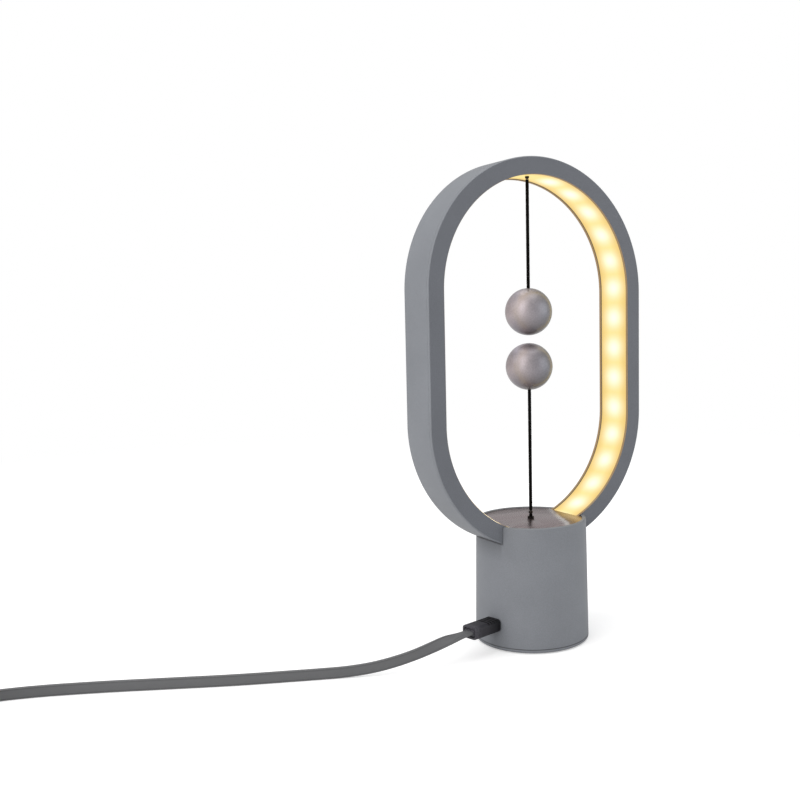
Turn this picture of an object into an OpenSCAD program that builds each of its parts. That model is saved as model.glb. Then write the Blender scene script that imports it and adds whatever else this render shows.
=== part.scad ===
// Magnetic balance lamp: an upright lit ring on a round base, with two magnetic balls on cords.
// X runs along the ring's width, -Y faces the front, Z is up, and the origin is under the base's centre.

/* [Overall] */
// Height of the whole lamp
total_h = 250; // [225:5:285]
// Width of the ring over its outside
ring_w = 135; // [125:1:145]
// Depth of the ring from front to back
ring_depth = 23; // [21:0.5:26]

/* [Ring] */
// Width of the ring's front face
ring_band = 9; // [8.5:0.25:9.5]
// Thickness of the ring's outer wall
ring_wall = 2; // [1.6:0.1:2.4]
// Thickness of the ring's front and rear plates
plate_t = 1.4; // [1:0.1:1.8]
// Radius on the ring's outer edges
edge_r = 0.8; // [0.4:0.1:1.2]
// Thickness of the light diffuser
diffuser_t = 1.2; // [0.8:0.1:1.6]
// Depth of the diffuser below the plates' inner edges
diffuser_inset = 0.5; // [0.2:0.1:1]
// Width of the light strip
strip_w = 8; // [6:0.5:10]
// Thickness of the light strip
strip_t = 0.3; // [0.2:0.05:0.4]
// Distance between lights, along the strip
led_pitch = 16.6; // [14:0.2:20]
// Side of one light, along the strip
led_l = 3.5; // [2.5:0.5:4]
// Width of one light, across the strip
led_w = 2.8; // [2:0.2:3.6]
// Height of one light
led_h = 0.8; // [0.6:0.1:1.2]

/* [Base] */
// Height of the base
base_h = 64; // [60:1:70]
// Diameter of the base at its top
base_top_d = 58; // [56:0.5:60]
// Diameter of the base at its foot
base_foot_d = 60; // [59:0.5:64]
// Thickness of the base's side wall
base_wall = 2.2; // [1.8:0.1:2.6]
// Width of the lip round the top plate
lip_w = 2; // [1.5:0.1:2.4]
// Thickness of the top plate
top_t = 1.5; // [1.2:0.1:1.8]
// Depth of the top plate below the lip
top_drop = 0.4; // [0.2:0.1:0.6]
// Height of the bottom cover's outer rim
cover_rim_h = 1.8; // [1.4:0.1:2.4]
// Thickness of the foot pad
pad_t = 1; // [0.8:0.1:1.4]
// Gap between the counterweight and the bosses of the cover's screws
weight_gap = 1.05; // [0.8:0.05:4]
// Thickness of the counterweight
weight_t = 7; // [5:0.5:7.5]

/* [Balls and cords] */
// Diameter of the upper ball
upper_ball_d = 24.5; // [22:0.5:26]
// Diameter of the lower ball
lower_ball_d = 24.5; // [22:0.5:26]
// Height of the middle of the gap between the balls
balls_mid_z = 158; // [150:1:166]
// Gap between the two balls
ball_gap = 4; // [3:0.5:7]
// Diameter of the balls' cords
cord_d = 1.8; // [1.5:0.1:2]
// Diameter of the magnet in each ball
magnet_d = 5.8; // [5:0.2:7]
// Thickness of the magnet in each ball
magnet_t = 6; // [4:0.5:7]
// Travel of the pull cord that works the switch
pull_travel = 1; // [0.6:0.1:1.2]
// Diameter of the bead on the pull cord
stop_bead_d = 2.2; // [2:0.1:3]
// Diameter of the bead that the upper cord hangs from
hang_bead_d = 2.2; // [2:0.1:2.4]

/* [Power lead] */
// Direction of the socket, turned from the left towards the front
port_angle = 12.4; // [0:0.1:20]
// Width of the small plug's body
plug_w = 9.5; // [9:0.5:11]
// Thickness of the small plug's body
plug_t = 6.5; // [6:0.5:8]
// Length of the small plug's body
plug_l = 18; // [16:0.5:22]
// Width of the flat cable
cable_w = 5.5; // [5:0.1:6]
// Thickness of the flat cable
cable_t = 1.7; // [1.5:0.1:1.9]
// Radius of the coil's outer turn
coil_r = 30; // [28:0.5:33]
// Number of turns in the coil
coil_turns = 4; // [2:2:6]

/* [Hidden] */

$fn = 96;
small_fn = 32;

// Clearances: seat between fixed pieces, fit between the ring and the base, run round what moves
seat = 0.1;
fit = 0.15;
run = 0.2;
// Overrun of every cut past the face that it opens
over = 1;
half = 1 / 2;

// Ring: its arcs share two centres above one another
ring_r = ring_w / 2;
ring_in_r = ring_r - ring_band;
ring_below_disc = 5;
ring_low_z = base_h - ring_below_disc - ring_band;
arc_low_z = ring_low_z + ring_r;
arc_top_z = total_h - ring_r;
face_y = ring_depth / 2;
channel_y = face_y - plate_t;
// Largest rounding of a plate's edge, as a share of the plate's thickness
edge_share = 0.8;
plate_edge_r = min(edge_r, edge_share * plate_t);
diffuser_r = ring_in_r + diffuser_inset;
strip_r = ring_r - ring_wall - seat;
strip_end_deg = 62;
quarter = 90;
half_turn = 180;
full_turn = 360;
strip_face_r = strip_r - strip_t;
quarter_l = PI * strip_face_r / 2;
straight_l = arc_top_z - arc_low_z;
strip_low_l = PI * strip_face_r * strip_end_deg / half_turn;
led_count = floor((quarter_l + straight_l + strip_low_l - led_l) / led_pitch);

// Base: heights of its joints
foot_gap = 0.4;
cover_top_z = foot_gap + cover_rim_h;
spigot_h = 1.2;
floor_z = cover_top_z + spigot_h;
disc_top_z = base_h - top_drop;
disc_low_z = disc_top_z - top_t;
top_r = base_top_d / 2;
foot_r = base_foot_d / 2;
disc_r = top_r - lip_w;
ledge_w = 2;
ledge_t = 2;
lip_chamfer = 0.4;
pad_in = 3.4;
pad_r = foot_r - pad_in;
cover_edge_r = 1.2;
weight_top_z = floor_z + seat + weight_t;
boss_in = 1.5;
boss_r = 3;
boss_ring_r = foot_r - base_wall - boss_r - boss_in;
weight_r = boss_ring_r - boss_r - weight_gap;
// The bosses end below the circuit board, and the screws end below the bosses' tops
boss_h = weight_t - seat;
boss_angles = [30, 150, 270];
screw_r = 1.1;
screw_head_r = 2.2;
screw_head_t = 1.3;
screw_tip_gap = 0.3;
screw_l = floor_z + boss_h - pad_t - screw_tip_gap;
slot_w = 0.5;
slot_t = 0.5;
slot_share = 4 / 3;

// Ribs in the base that carry the ring
rib_x = 16;
rib_t = 2;
rib_h = 3;
rib_low_z = ring_low_z - rib_h;
ring_boss_r = 2.6;
ring_screw_l = 5.5;

// Ball places
upper_r = upper_ball_d / 2;
lower_r = lower_ball_d / 2;
upper_z = balls_mid_z + ball_gap / 2 + upper_r;
lower_z = balls_mid_z - ball_gap / 2 - lower_r;
cord_r = cord_d / 2;
hang_r = hang_bead_d / 2;
stop_r = stop_bead_d / 2;
hang_drop = 0.4;
hang_z = arc_top_z + diffuser_r - hang_drop;
eyelet_t = 0.8;
eyelet_r = 1.7;
eyelet_tube_r = 1.45;
eyelet_bore_r = cord_r + run;
eyelet_tube_l = 2.4;
eyelet_top_z = disc_top_z + seat + eyelet_t;
stop_z = eyelet_top_z + pull_travel + seat + stop_r;
ball_skin = 1.4;
ball_cord_l = 5;
plug_hole_r = cord_r + seat / 2;
hang_bore_r = hang_r + run;
anchor_r = 4;

// Switch, under the ring
switch_l = 12.8;
switch_w = 5.8;
switch_h = 6.5;
switch_below = 4;
switch_x = 1.6;
switch_low_z = ring_low_z - switch_below - switch_h;
lever_in = 1.2;
lever_below = 1;
lever_x = switch_x + switch_l - lever_in;
lever_z = switch_low_z - lever_below;
lever_t = 0.4;
lever_w = 3.4;
lever_end_x = 2.6;
lever_eye_r = 0.9;
lever_bore_r = 0.55;
lever_pin_r = 0.5;
lever_hole_r = 1.3;
lever_ear_t = 0.8;
lever_ear_w = 2.2;
plunger_r = 0.8;
plunger_in = 5.4;
plunger_x = switch_x + plunger_in;
plunger_l = 2.2;
plunger_bore_l = 2.2;
knot_r = 1.6;
knot_h = 3;
bracket_t = 1.6;
bracket_w = 13;
bracket_in = 0.4;
bracket_x = switch_x + bracket_in;
bracket_top_z = switch_low_z + switch_h + seat;
bracket_foot_w = 6.5;
bracket_y = switch_w / 2 + seat;
bracket_screw_y = bracket_y + bracket_t + bracket_foot_w / 2;
bracket_screw_in = 2.6;
bracket_screw_x = [bracket_x + bracket_screw_in, bracket_x + bracket_w - bracket_screw_in];
bracket_screw_r = 0.9;
bracket_head_r = 1.7;
bracket_head_t = 1.1;
bracket_screw_l = 2.6;

// Board and socket, in the socket's own direction
board_t = 1.5;
socket_h = 2.7;
socket_w = 7.5;
socket_l = 5.6;
socket_wall = 0.3;
board_top_z = weight_top_z + seat + board_t;
port_z = board_top_z + seat / 2 + socket_h / 2;
board_w = 24;
board_x = 15;
board_edge_gap = 1.3;
board_hole_r = bracket_screw_r + seat / 2;
wall_r = foot_r - (foot_r - top_r) * port_z / base_h;
socket_x = wall_r - base_wall - run;
board_r = socket_x - board_edge_gap;
port_w = 8.4;
port_h = 3.8;
tip_w = 6.8;
tip_h = 1.7;
tip_chamfer = 0.6;
tip_l = 4.6;
plug_gap = 0.3;
plug_edge_r = 1.8;
plug_neck_w = 6.8;
plug_neck_t = 3;
plug_rear_in = 0.8;
plug_rear_rim = 1.1;
plug_groove_t = 0.5;
plug_groove_l = 0.9;
plug_groove_pitch = 1.9;
plug_groove_at = 2;
plug_grooves = 4;
wire_r = 0.6;
wire_y = [5.2, 6.8];
wire_x = 7;
wire_gap = 1.2;
wire_arc_r = ring_r - ring_wall - wire_r - wire_gap;
wire_hole_w = 4;
wire_hole_l = 3;

// Chips on the board: length, width, height and place of each
chips = [
  [5, 4, 1.5, -10, -6],
  [3.2, 2.5, 0.9, -3, -8],
  [2, 1.2, 0.6, -15, 7],
  [2, 1.2, 0.6, -12, 8.5],
  [2, 1.2, 0.6, 1, -5]];
inductor_r = 2.8;
inductor_h = 2.6;
inductor_at = [7, -6.5];

// Large plug on the far end of the cable
a_plug_w = 15.5;
a_plug_t = 8;
a_plug_l = 22;
a_plug_edge_r = 2.2;
a_shell_w = 12;
a_shell_t = 4.5;
a_shell_l = 12;
a_shell_wall = 0.4;
a_tongue_t = 1.8;
a_window_w = 2.5;
a_window_l = 2.2;
a_window_in = 3.5;
a_window_y = 2.6;

// Route of the flat cable: x, y, z and the turn of its flat from lying, 0, to standing, 90.
// Its first two points lie straight behind the small plug.
port_l = wall_r + plug_l + seat;
port_lead = 4.7;
function port_point(l) = [-l * cos(port_angle), -l * sin(port_angle), port_z, 0];
cable_route = [
  port_point(port_l),
  port_point(port_l + port_lead),
  [-57, -12.4, 13.4, 15],
  [-63, -13, 12.9, 45],
  [-70, -12.4, 11.3, 75],
  [-78, -10, 8.8, 90],
  [-87, -6.2, 6.2, 90],
  [-97, -1.6, 4.1, 90],
  [-108, 3.5, 3, 90],
  [-120, 9, 2.8, 90],
  [-133, 15, 2.8, 90],
  [-147, 21.5, 2.8, 90],
  [-161, 28.5, 2.8, 90],
  [-175, 36, 2.8, 90],
  [-189, 43.5, 2.8, 90],
  [-203, 51, 2.8, 90],
  [-217, 58, 2.8, 90],
  [-231, 64.5, 2.8, 90],
  [-245, 69.7, 2.8, 90],
  [-259, 73.2, 2.9, 90],
  [-273, 74.8, 3.2, 90],
  [-286, 75, 3.4, 90]];
// Route of the cable's end, from the coil's top layer down to the large plug
tail_route = [
  [-297, 75, 9.5, 90],
  [-303, 75, 9.2, 80],
  [-310, 75, 7.6, 55],
  [-317, 75, 5.4, 25],
  [-323, 75, 4.2, 5],
  [-329, 75, 4, 0]];
// Coil: two layers of standing cable, wound in and out again, with a dip where it climbs
coil_start = cable_route[len(cable_route) - 1];
coil_lead = cable_w;
coil_pitch = 2.3;
coil_rise = 6.1;
coil_dip = 1.2;
coil_steps = 24;
climb_turns = 0.5;
tie_t = 0.5;
tie_w = 5;
tie_gap = 0.15;
tie_angle = 200;

// Sweep of a section round the ring; the section's x is the distance from the arcs' centres
module ring_sweep() {
  translate([0, 0, arc_top_z]) rotate([quarter, 0, 0])
    rotate_extrude(angle = half_turn, $fn = 2 * $fn) mirror([0, 1]) children();
  for (side = [0, 1]) mirror([side, 0, 0]) translate([0, 0, arc_low_z]) {
    linear_extrude(straight_l) children();
    rotate([quarter, 0, 0]) rotate([0, 0, -quarter])
      rotate_extrude(angle = quarter, $fn = 2 * $fn) mirror([0, 1]) children();
  }
}

// Square with its far corner rounded
module one_round(w, h, r) {
  square([w, h - r]);
  square([w - r, h]);
  translate([w - r, h - r]) intersection() {
    circle(r, $fn = small_fn);
    square([r, r]);
  }
}

// Square about the origin with all corners rounded
module round_square(w, h, r) {
  square([w, h - 2 * r], center = true);
  square([w - 2 * r, h], center = true);
  for (x = [-1, 1], y = [-1, 1]) translate([x * (w / 2 - r), y * (h / 2 - r)]) circle(r, $fn = small_fn);
}

// Space that the ring takes in the base, with the fit round it
module ring_space(gap) {
  translate([0, face_y + gap, 0]) rotate([quarter, 0, 0]) linear_extrude(ring_depth + 2 * gap)
    translate([0, arc_low_z]) circle(ring_r + gap, $fn = 2 * $fn);
}

module ring_band_space(gap) {
  translate([0, face_y + gap, 0]) rotate([quarter, 0, 0]) linear_extrude(ring_depth + 2 * gap)
    translate([0, arc_low_z]) difference() {
      circle(ring_r + gap, $fn = 2 * $fn);
      circle(ring_in_r - gap, $fn = 2 * $fn);
    }
}

module at_port() {
  rotate([0, 0, port_angle]) mirror([1, 0, 0]) translate([0, 0, port_z])
    rotate([quarter, 0, quarter]) children();
}

function side_r(z) = foot_r - (foot_r - top_r) * z / base_h;

module base_profile() {
  polygon([
    [side_r(cover_top_z + seat), cover_top_z + seat],
    [side_r(base_h - lip_chamfer), base_h - lip_chamfer],
    [top_r - lip_chamfer, base_h],
    [disc_r + seat, base_h],
    [disc_r + seat, disc_low_z - seat],
    [disc_r - ledge_w, disc_low_z - seat],
    [disc_r - ledge_w, disc_low_z - ledge_t],
    [side_r(disc_low_z - 2 * ledge_t) - base_wall, disc_low_z - 2 * ledge_t],
    [side_r(cover_top_z + seat) - base_wall, cover_top_z + seat]]);
}

module base_shell() {
  color([0.52, 0.53, 0.55]) difference() {
    union() {
      rotate_extrude($fn = 2 * $fn) base_profile();
      intersection() {
        for (side = [-1, 1]) {
          translate([side * rib_x - rib_t / 2, -foot_r, rib_low_z])
            cube([rib_t, base_foot_d, disc_low_z - seat - rib_low_z]);
          translate([side * rib_x, 0, rib_low_z])
            cylinder(h = disc_low_z - rib_low_z, r = ring_boss_r, $fn = small_fn);
        }
        cylinder(h = disc_low_z - seat, r = side_r(disc_low_z) - base_wall / 2, $fn = 2 * $fn);
      }
      for (a = boss_angles) rotate([0, 0, a]) translate([boss_ring_r, 0, floor_z + seat])
        cylinder(h = boss_h, r = boss_r, $fn = small_fn);
      intersection() {
        for (a = boss_angles) rotate([0, 0, a]) translate([boss_ring_r, -boss_r / 2, floor_z + seat])
          cube([foot_r - boss_ring_r, boss_r, boss_h]);
        cylinder(h = base_h, r = side_r(boss_h + floor_z) - base_wall / 2, $fn = 2 * $fn);
      }
    }
    ring_space(fit);
    for (a = boss_angles) rotate([0, 0, a]) translate([boss_ring_r, 0, floor_z + seat - over])
      cylinder(h = screw_l + over, r = screw_r - seat, $fn = small_fn);
    for (side = [-1, 1]) translate([side * rib_x, 0, rib_low_z - over])
      cylinder(h = base_h, r = screw_r - seat, $fn = small_fn);
    at_port() translate([0, 0, wall_r - 2 * base_wall])
      linear_extrude(3 * base_wall) round_square(port_w, port_h, plug_edge_r / 2);
  }
}

module top_plate() {
  color([0.58, 0.54, 0.55]) difference() {
    translate([0, 0, disc_low_z]) cylinder(h = top_t, r = disc_r, $fn = 2 * $fn);
    ring_band_space(fit);
    translate([0, 0, disc_low_z - over])
      cylinder(h = top_t + 2 * over, r = eyelet_tube_r + seat, $fn = small_fn);
  }
}

module cord_eyelet() {
  color([0.12, 0.11, 0.11]) difference() {
    union() {
      translate([0, 0, disc_top_z + seat]) cylinder(h = eyelet_t, r = eyelet_r, $fn = small_fn);
      translate([0, 0, disc_top_z + seat - eyelet_tube_l])
        cylinder(h = eyelet_tube_l + eyelet_t, r = eyelet_tube_r, $fn = small_fn);
    }
    translate([0, 0, disc_top_z - eyelet_tube_l - over])
      cylinder(h = eyelet_tube_l + eyelet_t + 3 * over, r = eyelet_bore_r, $fn = small_fn);
  }
}

module bottom_cover() {
  spigot_r = side_r(cover_top_z) - base_wall - fit;
  color([0.5, 0.51, 0.53]) difference() {
    union() {
      translate([0, 0, foot_gap]) rotate_extrude($fn = 2 * $fn) mirror([0, 1]) translate([0, -cover_rim_h])
        one_round(side_r(cover_top_z), cover_rim_h, cover_edge_r);
      translate([0, 0, foot_gap + cover_edge_r])
        cylinder(h = floor_z - foot_gap - cover_edge_r, r = spigot_r, $fn = 2 * $fn);
    }
    translate([0, 0, foot_gap - over])
      cylinder(h = pad_t + seat - foot_gap + over, r = pad_r + fit, $fn = 2 * $fn);
    for (a = boss_angles) rotate([0, 0, a]) translate([boss_ring_r, 0, 0]) {
      cylinder(h = base_h, r = screw_r + fit, $fn = small_fn);
      cylinder(h = pad_t + screw_head_t + 2 * seat, r = screw_head_r + fit, $fn = small_fn);
    }
  }
}

module foot_pad() {
  color([0.08, 0.08, 0.08]) cylinder(h = pad_t, r = pad_r, $fn = 2 * $fn);
}

// Screw with a cross slot in its head, head down
module cross_screw(l, r, head_r, head_t) {
  difference() {
    union() {
      cylinder(h = head_t, r = head_r, $fn = small_fn);
      cylinder(h = head_t + l, r = r, $fn = small_fn);
    }
    for (a = [0, quarter]) rotate([0, 0, a])
      translate([-head_r * slot_share / 2, -slot_w / 2, -over])
        cube([head_r * slot_share, slot_w, slot_t + over]);
  }
}

module cover_screws() {
  color([0.7, 0.7, 0.72]) for (a = boss_angles) rotate([0, 0, a]) translate([boss_ring_r, 0, pad_t + seat])
    cross_screw(screw_l - screw_head_t, screw_r - 2 * seat, screw_head_r, screw_head_t);
}

module counterweight() {
  color([0.4, 0.4, 0.42]) translate([0, 0, floor_z + seat]) cylinder(h = weight_t, r = weight_r);
}

module board_outline() {
  intersection() {
    circle(board_r);
    translate([-foot_r, -board_w / 2]) square([foot_r + board_x, board_w]);
  }
}

module circuit_board() {
  color([0.05, 0.3, 0.16]) difference() {
    translate([0, 0, board_top_z - board_t]) rotate([0, 0, port_angle])
      linear_extrude(board_t) board_outline();
    for (x = bracket_screw_x) translate([x, bracket_screw_y, 0])
      cylinder(h = base_h, r = board_hole_r, $fn = small_fn);
  }
}

module board_parts() {
  color([0.1, 0.1, 0.11]) rotate([0, 0, port_angle]) translate([0, 0, board_top_z]) {
    for (c = chips) translate([c[3], c[4], seat / 2]) cube([c[0], c[1], c[2]]);
    translate([inductor_at[0], inductor_at[1], seat / 2])
      cylinder(h = inductor_h, r = inductor_r, $fn = small_fn);
  }
}

module usb_socket() {
  color([0.75, 0.75, 0.77]) at_port() translate([0, 0, socket_x - socket_l]) {
    difference() {
      linear_extrude(socket_l) square([socket_w, socket_h], center = true);
      translate([0, 0, socket_wall]) linear_extrude(socket_l + over)
        square([socket_w - 2 * socket_wall, socket_h - 2 * socket_wall], center = true);
    }
  }
}

module bracket_screws() {
  head_z = board_top_z + bracket_t + 2 * seat + bracket_head_t;
  color([0.7, 0.7, 0.72]) for (x = bracket_screw_x)
    translate([x, bracket_screw_y, head_z]) mirror([0, 0, 1])
      cross_screw(bracket_screw_l, bracket_screw_r, bracket_head_r, bracket_head_t);
}

module switch_bracket() {
  color([0.15, 0.15, 0.16]) difference() {
    union() {
      translate([bracket_x, bracket_y, board_top_z + seat])
        cube([bracket_w, bracket_t, bracket_top_z - board_top_z - seat]);
      translate([bracket_x, bracket_y, board_top_z + seat])
        cube([bracket_w, bracket_t + bracket_foot_w, bracket_t]);
    }
    for (x = bracket_screw_x) translate([x, bracket_screw_y, 0])
      cylinder(h = base_h / 2, r = board_hole_r, $fn = small_fn);
  }
}

module switch_body() {
  color([0.12, 0.12, 0.13]) difference() {
    union() {
      translate([switch_x, -switch_w / 2, switch_low_z]) cube([switch_l, switch_w, switch_h]);
      for (side = [-1, 1]) translate([lever_x, side * (lever_w / 2 + run + lever_ear_t / 2), switch_low_z])
        rotate([quarter, 0, 0]) linear_extrude(lever_ear_t, center = true) {
          translate([-lever_ear_w / 2, lever_z - switch_low_z])
            square([lever_ear_w, switch_low_z - lever_z + seat]);
          translate([0, lever_z - switch_low_z]) circle(lever_ear_w / 2, $fn = small_fn);
        }
    }
    translate([plunger_x, 0, switch_low_z - over])
      cylinder(h = plunger_bore_l + over, r = plunger_r + seat, $fn = small_fn);
    translate([lever_x, switch_w, lever_z]) rotate([quarter, 0, 0])
      cylinder(h = 2 * switch_w, r = lever_pin_r, $fn = small_fn);
  }
}

module lever_pin() {
  pin_l = lever_w + 2 * run + 2 * lever_ear_t;
  color([0.75, 0.75, 0.77]) translate([lever_x, pin_l / 2, lever_z]) rotate([quarter, 0, 0])
    cylinder(h = pin_l, r = lever_pin_r, $fn = small_fn);
}

module switch_lever() {
  color([0.75, 0.75, 0.77]) difference() {
    union() {
      translate([-lever_end_x, -lever_w / 2, lever_z - lever_t / 2])
        cube([lever_x + lever_end_x, lever_w, lever_t]);
      translate([lever_x, lever_w / 2, lever_z]) rotate([quarter, 0, 0])
        cylinder(h = lever_w, r = lever_eye_r, $fn = small_fn);
    }
    translate([lever_x, lever_w, lever_z]) rotate([quarter, 0, 0])
      cylinder(h = 2 * lever_w, r = lever_bore_r, $fn = small_fn);
    translate([0, 0, lever_z - over]) cylinder(h = 2 * over, r = lever_hole_r, $fn = small_fn);
  }
}

module switch_plunger() {
  color([0.85, 0.85, 0.83]) translate([plunger_x, 0, lever_z + lever_t / 2 + seat])
    cylinder(h = plunger_l, r = plunger_r, $fn = small_fn);
}

module lead_wires() {
  arc_start = asin(wire_x / wire_arc_r);
  low_z = board_top_z + seat / 2;
  bend_z = arc_low_z - wire_arc_r * cos(arc_start);
  color([0.75, 0.1, 0.08]) for (y = wire_y) {
    translate([-wire_x, y, low_z]) cylinder(h = bend_z - low_z, r = wire_r, $fn = small_fn);
    translate([-wire_x, y, bend_z]) sphere(wire_r, $fn = small_fn);
    translate([0, y, arc_low_z]) rotate([quarter, 0, 0]) rotate([0, 0, half_turn + strip_end_deg])
      rotate_extrude(angle = quarter - strip_end_deg - arc_start) translate([wire_arc_r, 0])
        circle(wire_r, $fn = small_fn);
  }
}

module ring_body() {
  color([0.45, 0.46, 0.48]) difference() {
    ring_sweep() {
      translate([ring_r - ring_wall, plate_t + seat - face_y])
        one_round(ring_wall, ring_depth - plate_t - seat, plate_edge_r);
      translate([ring_in_r, channel_y]) one_round(ring_band, plate_t, plate_edge_r);
    }
    for (side = [-1, 1]) translate([side * rib_x, 0, 0])
      cylinder(h = arc_low_z, r = screw_r + fit, $fn = small_fn);
    cylinder(h = arc_low_z, r = lever_hole_r, $fn = small_fn);
    translate([-wire_x - wire_hole_w / 2, wire_y[0] - wire_hole_l / 2, ring_low_z - over])
      cube([wire_hole_w, wire_y[1] - wire_y[0] + wire_hole_l, ring_band]);
  }
}

module ring_cover() {
  color([0.44, 0.45, 0.47]) ring_sweep() mirror([0, 1]) translate([ring_in_r, channel_y])
    one_round(ring_band, plate_t, plate_edge_r);
}

module diffuser() {
  color([1, 0.86, 0.55]) difference() {
    ring_sweep() translate([diffuser_r, seat - channel_y])
      square([diffuser_t, 2 * (channel_y - seat)]);
    translate([0, 0, arc_top_z]) cylinder(h = ring_r, r = hang_bore_r, $fn = small_fn);
    cylinder(h = arc_low_z, r = lever_hole_r, $fn = small_fn);
  }
}

// Strip round the ring, open at the bottom where it ends over the base
module led_strip() {
  open_x = ring_w * tan(quarter - strip_end_deg);
  color([0.95, 0.95, 0.92]) difference() {
    ring_sweep() translate([strip_face_r, -strip_w / 2]) square([strip_t, strip_w]);
    translate([0, face_y, arc_low_z]) rotate([quarter, 0, 0]) linear_extrude(ring_depth)
      polygon([[0, 0], [-open_x, -ring_w], [open_x, -ring_w]]);
  }
}

// Place on the strip's face at a distance along it from its top
module led_place(s) {
  arc = s < quarter_l ? quarter - s / strip_face_r * half_turn / PI
      : s < quarter_l + straight_l ? 0
      : -(s - quarter_l - straight_l) / strip_face_r * half_turn / PI;
  z = s < quarter_l ? arc_top_z
    : s < quarter_l + straight_l ? arc_top_z - (s - quarter_l)
    : arc_low_z;
  translate([0, 0, z]) rotate([0, -arc, 0]) translate([strip_face_r - seat / 2 - led_h, 0, 0]) children();
}

module leds() {
  color([1, 0.95, 0.7]) for (side = [0, 1], k = [1:led_count]) mirror([side, 0, 0]) led_place(k * led_pitch)
    translate([0, -led_w / 2, -led_l / 2]) cube([led_h, led_w, led_l]);
}

module ring_screws() {
  seat_z = arc_low_z + seat / 2 - sqrt(pow(ring_r - ring_wall, 2) - pow(rib_x + screw_head_r, 2));
  color([0.7, 0.7, 0.72]) for (side = [-1, 1])
    translate([side * rib_x, 0, seat_z + screw_head_t]) mirror([0, 0, 1])
      cross_screw(ring_screw_l, screw_r - 2 * seat, screw_head_r, screw_head_t);
}

module cord_anchor() {
  color([0.2, 0.2, 0.2]) difference() {
    translate([0, 0, arc_top_z + diffuser_r + diffuser_t + seat])
      cylinder(h = strip_face_r - diffuser_r - diffuser_t - 3 * seat, r = anchor_r, $fn = small_fn);
    translate([0, 0, arc_top_z]) cylinder(h = diffuser_r + diffuser_t + 3 * seat, r = hang_r, $fn = small_fn);
  }
}

module pull_cord() {
  color([0.03, 0.02, 0.02]) translate([0, 0, lever_z - lever_t / 2 - run])
    cylinder(h = stop_z - stop_r - seat / 2 - lever_z + lever_t / 2 + run, r = cord_r, $fn = small_fn);
}

module pull_knot() {
  color([0.03, 0.02, 0.02]) translate([0, 0, lever_z - lever_t / 2 - run - knot_h])
    cylinder(h = knot_h, r = knot_r, $fn = small_fn);
}

module stop_bead() {
  color([0.1, 0.08, 0.07]) translate([0, 0, stop_z]) sphere(stop_r, $fn = small_fn);
}

module hang_bead() {
  color([0.1, 0.08, 0.07]) translate([0, 0, hang_z]) sphere(hang_r, $fn = small_fn);
}

// Ball with a blind hole from its cord side that holds the magnet and the plug
module ball(r) {
  difference() {
    sphere(r);
    translate([0, 0, ball_skin - r]) cylinder(h = 2 * r, r = magnet_d / 2 + seat / 2, $fn = small_fn);
  }
}

module ball_magnet(r) {
  translate([0, 0, ball_skin - r + seat / 2]) cylinder(h = magnet_t, r = magnet_d / 2, $fn = small_fn);
}

module ball_plug(r) {
  difference() {
    intersection() {
      sphere(r);
      translate([0, 0, ball_skin - r + magnet_t + seat])
        cylinder(h = 2 * r, r = magnet_d / 2, $fn = small_fn);
    }
    translate([0, 0, r - ball_cord_l]) cylinder(h = ball_cord_l + over, r = plug_hole_r, $fn = small_fn);
  }
}

module upper_ball() {
  color([0.57, 0.53, 0.52]) translate([0, 0, upper_z]) ball(upper_r);
}

module upper_magnet() {
  color([0.7, 0.7, 0.72]) translate([0, 0, upper_z]) ball_magnet(upper_r);
}

module upper_plug() {
  color([0.57, 0.53, 0.52]) translate([0, 0, upper_z]) ball_plug(upper_r);
}

module upper_cord() {
  low_z = upper_z + upper_r - ball_cord_l + seat;
  color([0.03, 0.02, 0.02]) translate([0, 0, low_z])
    cylinder(h = hang_z - hang_r - fit - low_z, r = cord_r, $fn = small_fn);
}

module lower_ball() {
  color([0.57, 0.53, 0.52]) translate([0, 0, lower_z]) mirror([0, 0, 1]) ball(lower_r);
}

module lower_magnet() {
  color([0.7, 0.7, 0.72]) translate([0, 0, lower_z]) mirror([0, 0, 1]) ball_magnet(lower_r);
}

module lower_plug() {
  color([0.57, 0.53, 0.52]) translate([0, 0, lower_z]) mirror([0, 0, 1]) ball_plug(lower_r);
}

module lower_cord() {
  low_z = stop_z + stop_r + fit;
  color([0.03, 0.02, 0.02]) translate([0, 0, low_z])
    cylinder(h = lower_z - lower_r + ball_cord_l - seat - low_z, r = cord_r, $fn = small_fn);
}

module micro_usb_plug() {
  body_l = plug_l - plug_gap;
  color([0.22, 0.22, 0.23]) at_port() translate([0, 0, wall_r + plug_gap]) difference() {
    linear_extrude(body_l) round_square(plug_w, plug_t, plug_edge_r);
    translate([0, 0, body_l - plug_rear_in]) difference() {
      linear_extrude(plug_rear_in + over)
        round_square(plug_w - 2 * plug_rear_rim, plug_t - 2 * plug_rear_rim, plug_edge_r / 2);
      linear_extrude(plug_rear_in) round_square(plug_neck_w, plug_neck_t, plug_neck_t / 3);
    }
    for (k = [0:plug_grooves - 1], side = [-1, 1])
      translate([0, side * (plug_t / 2), plug_groove_at + k * plug_groove_pitch])
        linear_extrude(plug_groove_l) square([plug_w + over, 2 * plug_groove_t], center = true);
  }
}

module micro_usb_tip() {
  color([0.75, 0.75, 0.77]) at_port() translate([0, 0, wall_r + plug_gap - seat / 2 - tip_l - base_wall])
    linear_extrude(tip_l + base_wall) polygon([
      [-tip_w / 2, tip_h / 2],
      [-tip_w / 2, tip_chamfer - tip_h / 2],
      [tip_chamfer - tip_w / 2, -tip_h / 2],
      [tip_w / 2 - tip_chamfer, -tip_h / 2],
      [tip_w / 2, tip_chamfer - tip_h / 2],
      [tip_w / 2, tip_h / 2]]);
}

function unit(v) = v / norm(v);
function place(p) = [p[0], p[1], p[2]];
function heading(route, i) = unit(place(route[min(i + 1, len(route) - 1)]) - place(route[max(i - 1, 0)]));

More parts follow.
